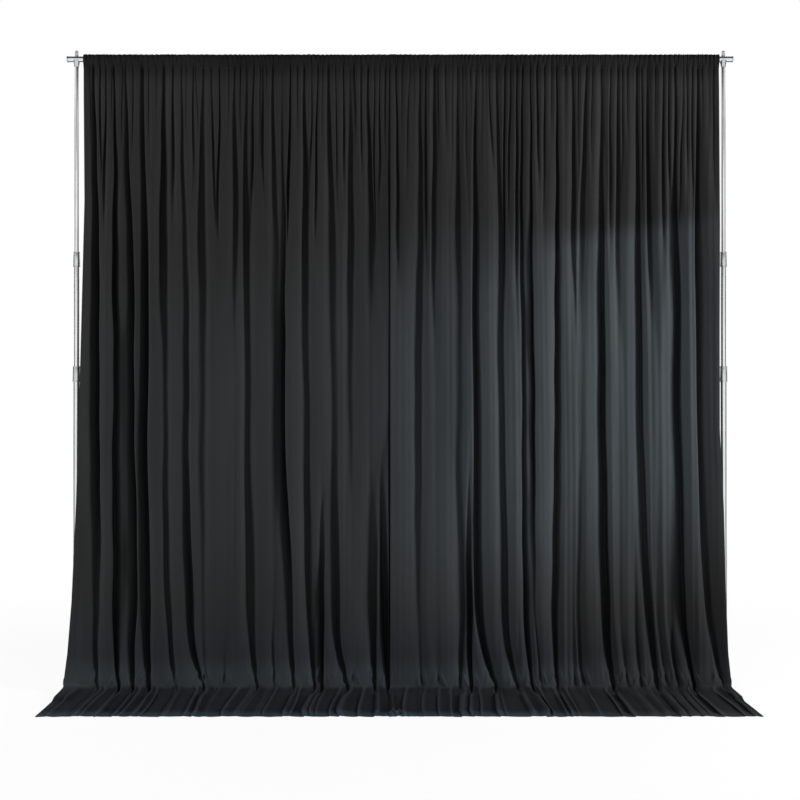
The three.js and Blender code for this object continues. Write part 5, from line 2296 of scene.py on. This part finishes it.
def leaf_half(node: Piece, side: Side, place: Place, finishes: Finishes) -> None:
    """Half of a bowed leaf spring, on the side of the snap button that it presses on.

    Args:
        node: The frame's whole spring.
        side: The side of the stand that it is on.
        place: The snap button that bends it.
        finishes: The materials.
    """
    middle = middle_of(node.name).x
    direction = side.value if place is Place.OUTER else -side.value
    form = bmesh.new()
    form.from_mesh(node.data)
    whole = [*form.verts, *form.edges, *form.faces]
    cut = bmesh.ops.bisect_plane(
        form, geom=whole, plane_co=(middle, 0.0, 0.0), plane_no=(-direction, 0.0, 0.0), clear_outer=True
    )
    rim = [part for part in cut["geom_cut"] if isinstance(part, bmesh.types.BMEdge)]
    bmesh.ops.holes_fill(form, edges=rim)
    mesh = mesh_from(form, f"{node.name}_{place.value}_half")
    shade(mesh)
    piece = dress(new_object(f"{node.name}_{place.value}_half", mesh), finishes.of(Slot.ZINC))
    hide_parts(node.name)
    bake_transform(piece)


def wire_mesh(lines: Sequence[Array]) -> Mesh:
    """Several lines of points as one mesh of edges.

    Args:
        lines: The lines, each as rows of points.

    Returns:
        The mesh.
    """
    points, edges = [], []
    for line in lines:
        start = len(points)
        points.extend(map(tuple, line.tolist()))
        edges.extend((start + i, start + i + 1) for i in range(len(line) - 1))
    mesh = bpy.data.meshes.new("lines")
    mesh.from_pydata(points, edges, [])
    return mesh


@dataclass
class Studio:
    """The camera, the pale floor, the white surround and the soft lights."""

    camera_distance: float = 5.16  # in front of the origin
    camera_height: float = 1.365
    lens: float = 50.0
    sensor: float = 36.0
    view_reach: float = 200.0
    aim_height: float = 1.35  # the height on the stand that the lights face
    matte: float = 0.9  # the roughness of the floor and the cards
    floor_half: float = 45.0
    floor_colour: Colour = (0.82, 0.82, 0.82)
    floor_squeeze: Triple = (0.7, 1.0, 1.0)
    floor_white: float = 0.88
    floor_near: float = 1.7
    floor_far: float = 3.2
    surround: float = 0.30
    key_power: float = 560.0
    key_size: tuple[float, float] = (1.4, 3.0)
    key_azimuth: float = 71.0
    key_distance: float = 6.4
    key_height: float = 2.6
    side_shares: tuple[float, float] = (0.60, 1.0)
    back_place: Triple = (0.0, 5.5, 3.4)
    back_size: tuple[float, float] = (3.0, 2.0)
    back_power: float = 90.0
    card_distance: float = 3.2  # from the uprights, and from the crossbar
    card_half_width: float = 0.75
    card_half_height: float = 2.4
    card_middle: float = 1.6
    card_half_length: float = 5.0  # of the cards that lie across the stand
    card_grey: float = 0.5

    def build(self) -> None:
        """Makes everything that stands round the object."""
        self.camera()
        self.floor()
        self.world()
        for side, strength in zip(Side, self.side_shares):
            angle = math.radians(self.key_azimuth) * side.value
            reach = self.key_distance
            place = (math.sin(angle) * reach, -math.cos(angle) * reach, self.key_height)
            self.softbox(f"key_{side.label}", place, self.key_size, self.key_power * strength)
        self.softbox("back_fill", self.back_place, self.back_size, self.back_power)
        self.cards()

    def camera(self) -> None:
        """The camera, level and square on, as the photograph was taken."""
        data = bpy.data.cameras.new("camera")
        data.lens = self.lens
        data.sensor_width = self.sensor
        data.clip_end = self.view_reach
        made = bpy.data.objects.new("camera", data)
        made.location = (0.0, -self.camera_distance, self.camera_height)
        made.rotation_euler = (math.radians(90), 0.0, 0.0)
        bpy.context.scene.collection.objects.link(made)
        bpy.context.scene.camera = made

    def softbox(self, name: str, place: Triple, size: tuple[float, float], power: float) -> None:
        """One rectangular area light that faces the stand's middle.

        Args:
            name: The light's name.
            place: Where it hangs.
            size: Its width and height.
            power: Its power in watts.
        """
        data = bpy.data.lights.new(name, "AREA")
        data.shape = "RECTANGLE"
        data.size, data.size_y = size
        data.energy = power
        made = bpy.data.objects.new(name, data)
        made.visible_glossy = False  # the polished tubes show the white surround and the cards
        made.location = place
        facing = Vector((0.0, 0.0, self.aim_height)) - Vector(place)
        made.rotation_euler = facing.to_track_quat("-Z", "Y").to_euler()
        bpy.context.scene.collection.objects.link(made)

    def cards(self) -> None:
        """Cards round the stand that only the polished metal shows: black, and a grey one in front."""
        black = new_material("card_black", grey(0.02), 0.0, self.matte)
        glow = new_material("card_grey", grey(0.0), 0.0, self.matte)
        shader_of(glow).inputs["Emission Color"].default_value = (1.0, 1.0, 1.0, 1.0)
        shader_of(glow).inputs["Emission Strength"].default_value = self.card_grey
        reach, long = self.card_distance + 1.54, self.card_half_length
        near, far = -2.3 * self.card_half_width, self.card_half_width
        bottom, top = self.card_middle - self.card_half_height, self.card_middle + self.card_half_height
        ceiling = 3.0 + self.card_distance
        self.card("card_left", (-reach, near, bottom), (-reach, far, top), black)
        self.card("card_right", (reach, near, bottom), (reach, far, top), black)
        self.card("card_top", (-long, -5.0, ceiling), (long, 3.0, ceiling), black)
        self.card("card_front", (-long, -6.0, 4.1), (long, -6.0, 7.0), glow)
        self.card("card_floor", (-long, 0.5, 0.02), (long, 6.0, 0.02), black)

    @staticmethod
    def card(name: str, low: Triple, high: Triple, material: Material) -> None:
        """One flat card that neither the camera nor the object's shading sees.

        Args:
            name: The card's name.
            low: One of its corners.
            high: The opposite corner, which shares one coordinate with the first.
            material: The card's material.
        """
        first, second = (axis for axis in range(3) if low[axis] != high[axis])
        points = []
        for along, across in ((low, low), (high, low), (high, high), (low, high)):
            point = list(low)
            point[first], point[second] = along[first], across[second]
            points.append(point)
        mesh = bpy.data.meshes.new(name)
        mesh.from_pydata(points, [], [(0, 1, 2, 3)])
        made = dress(new_object(name, mesh), material)
        for rays in ("camera", "diffuse", "transmission", "shadow"):
            setattr(made, f"visible_{rays}", False)

    @staticmethod
    def seen_directly(tree: Tree) -> Socket:
        """1 for camera, glossy and transmission rays, 0 for the rays that light the object.

        Args:
            tree: The tree that asks.

        Returns:
            The value's socket.
        """
        rays = add_node(tree, "ShaderNodeLightPath").outputs
        seen = math_value(tree, "MAXIMUM", rays["Is Camera Ray"], rays["Is Glossy Ray"])
        return math_value(tree, "MAXIMUM", seen, rays["Is Transmission Ray"])

    def world(self) -> None:
        """White where it is seen or reflected, and an even fill for the object's shading."""
        world = bpy.data.worlds.new("surround")
        bpy.context.scene.world = world
        world.use_nodes = True
        tree = world.node_tree
        sockets = tree.nodes["Background"].inputs
        sockets["Color"].default_value = (1.0, 1.0, 1.0, 1.0)
        level = ramp(tree, self.seen_directly(tree), 0.0, 1.0, self.surround, 1.0)
        tree.links.new(level, sockets["Strength"])

    def floor(self) -> None:
        """A plain pale floor that is white to the camera and keeps the object's shadow."""
        form = bmesh.new()
        bmesh.ops.create_grid(form, x_segments=1, y_segments=1, size=self.floor_half)
        floor = new_object("floor", mesh_from(form, "floor"))
        material = new_material("floor_white", self.floor_colour, 0.0, self.matte)
        tree = material.node_tree
        shader = shader_of(material)
        shader.inputs["Specular IOR Level"].default_value = 0.0
        glow = add_node(tree, "ShaderNodeEmission").outputs["Emission"]
        place = add_node(tree, "ShaderNodeTexCoord").outputs["Object"]
        squeeze = add_node(tree, "ShaderNodeMapping", {"Vector": place, "Scale": self.floor_squeeze})
        reach = add_node(tree, "ShaderNodeVectorMath", {0: squeeze.outputs["Vector"]}, operation="LENGTH")
        white = ramp(tree, reach.outputs["Value"], self.floor_near, self.floor_far, self.floor_white, 1.0)
        share = math_value(tree, "MULTIPLY", white, self.seen_directly(tree))
        blend = add_node(tree, "ShaderNodeMixShader", {"Fac": share, 1: shader.outputs["BSDF"], 2: glow})
        tree.links.new(blend.outputs["Shader"], tree.nodes["Material Output"].inputs["Surface"])
        dress(floor, material)


def left_panel(fall: DrapeFall) -> DrapePanel:
    """The panel on the left, whose inner edge lies behind the other's.

    Args:
        fall: How the panels hang.

    Returns:
        The panel.
    """
    return DrapePanel(
        side=Side.LEFT,
        fall=fall,
        folds=LEFT_FOLDS,
        low_folds=LEFT_LOW_FOLDS,
        fading=LEFT_FADING,
        outer_heights=[0.03, 0.18, 0.42, 0.89, 1.22, 1.48, 2.31, 2.955],
        outer_places=[1.5755, 1.557, 1.540, 1.523, 1.517, 1.511, 1.497, 1.507],
        inner_place=-0.028,
        inner_sign=1.0,
        train_outer=1.5725,
        hand=11,
    )


def right_panel(fall: DrapeFall) -> DrapePanel:
    """The panel on the right, whose inner edge lies in front.

    Args:
        fall: How the panels hang.

    Returns:
        The panel.
    """
    return DrapePanel(
        side=Side.RIGHT,
        fall=fall,
        folds=RIGHT_FOLDS,
        low_folds=RIGHT_LOW_FOLDS,
        fading=RIGHT_FADING,
        outer_heights=[0.03, 0.18, 0.42, 0.87, 1.22, 1.70, 2.20, 2.955],
        outer_places=[1.551, 1.5365, 1.5295, 1.522, 1.507, 1.511, 1.517, 1.519],
        inner_place=-0.045,
        inner_sign=-1.0,
        train_outer=1.567,
        hand=5,
    )


@dataclass
class Drape:
    """Both panels with their seams; the pocket and the train are put on the bodies that carry them."""

    finishes: Finishes
    blend_top: float = 2.90  # above this height the cloth moves with the crossbar
    stitch_pitch: float = 0.005
    stitch_length: float = 0.0036
    thread_radius: float = 0.00042

    def build(self) -> None:
        """Makes both panels and their stitches."""
        bar_low, bar_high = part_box("crossbar_middle_section")
        fall = DrapeFall(
            bar_axis_height=(bar_low.z + bar_high.z) / 2,
            bar_plane=(bar_low.y + bar_high.y) / 2,
            front_hem=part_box("left_drape_train")[0].y,
            foot_top=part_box("left_foot")[1].z,
        )
        tree = stitch_tree()
        for panel in (left_panel(fall), right_panel(fall)):
            for part, piece in panel.build().items():
                dress(piece, self.finishes.of(Slot.DRAPE))
                seam = self.seam(panel, part, tree)
                self.carry(piece, part)
                self.carry(seam, part)
                hanging = part in (Part.POCKET, Part.UPPER)
                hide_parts(f"{panel.side.label}_{'drape' if hanging else 'drape_train'}")
                LOG.info("%s: %.3f m of cloth", piece.name, panel.lengths_down[part])
                LOG.info("%s: sewn along %d lines", seam.name, len(panel.seams[part]))

    def seam(self, panel: DrapePanel, part: Part, tree: Tree) -> Piece:
        """The stitches of one length of cloth.

        Args:
            panel: The panel.
            part: The length of cloth.
            tree: The nodes that sew.

        Returns:
            The stitches.
        """
        values = {
            "Pitch": self.stitch_pitch,
            "Stitch Length": self.stitch_length,
            "Thread Radius": self.thread_radius,
            "Material": self.finishes.thread,
        }
        return grown(f"{panel.side.label}_{part.value}_stitches", wire_mesh(panel.seams[part]), tree, values)

    def carry(self, piece: Piece, part: Part) -> None:
        """Puts a length of cloth, or its stitches, on the body that moves it: the pocket on the head, the
        train on the ground frame; the upper and lower lengths stay where they are made.

        Args:
            piece: The cloth or its stitches.
            part: The length of cloth.
        """
        if part is Part.POCKET:
            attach(piece, "head")
        elif part is Part.UPPER:
            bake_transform(piece)
        elif part is Part.LOWER:
            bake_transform(piece)
        else:
            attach(piece, "ground_frame")

    @staticmethod
    def holders(side: Side, part: Part) -> list[str]:
        """What one length of a panel hangs on or lies on.

        Args:
            side: The panel's side.
            part: The length of cloth.

        Returns:
            The pieces' names.
        """
        if part is Part.TRAIN:
            return [f"{side.label}_foot_bar"]
        return [f"crossbar_{side.label}_section_drawn", "crossbar_middle_section_drawn"]


def main() -> None:
    """Loads the frame and dresses the backdrop piece by piece."""
    logging.basicConfig(level=logging.INFO, format="%(name)s: %(message)s")
    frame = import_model()
    bpy.context.scene.view_settings.view_transform = "Standard"
    finishes = Finishes.make()
    Studio().build()
    for side in Side:
        Foot(side, finishes).build()
        Upright(side, finishes).build()
    Crossbar(finishes).build()
    dress_hidden(frame["nodes"], finishes)
    for side in Side:
        for place in Place:
            leaf_half(frame["nodes"][f"{side.label}_snap_spring"], side, place, finishes)
    Drape(finishes).build()


if __name__ == "__main__":
    main()
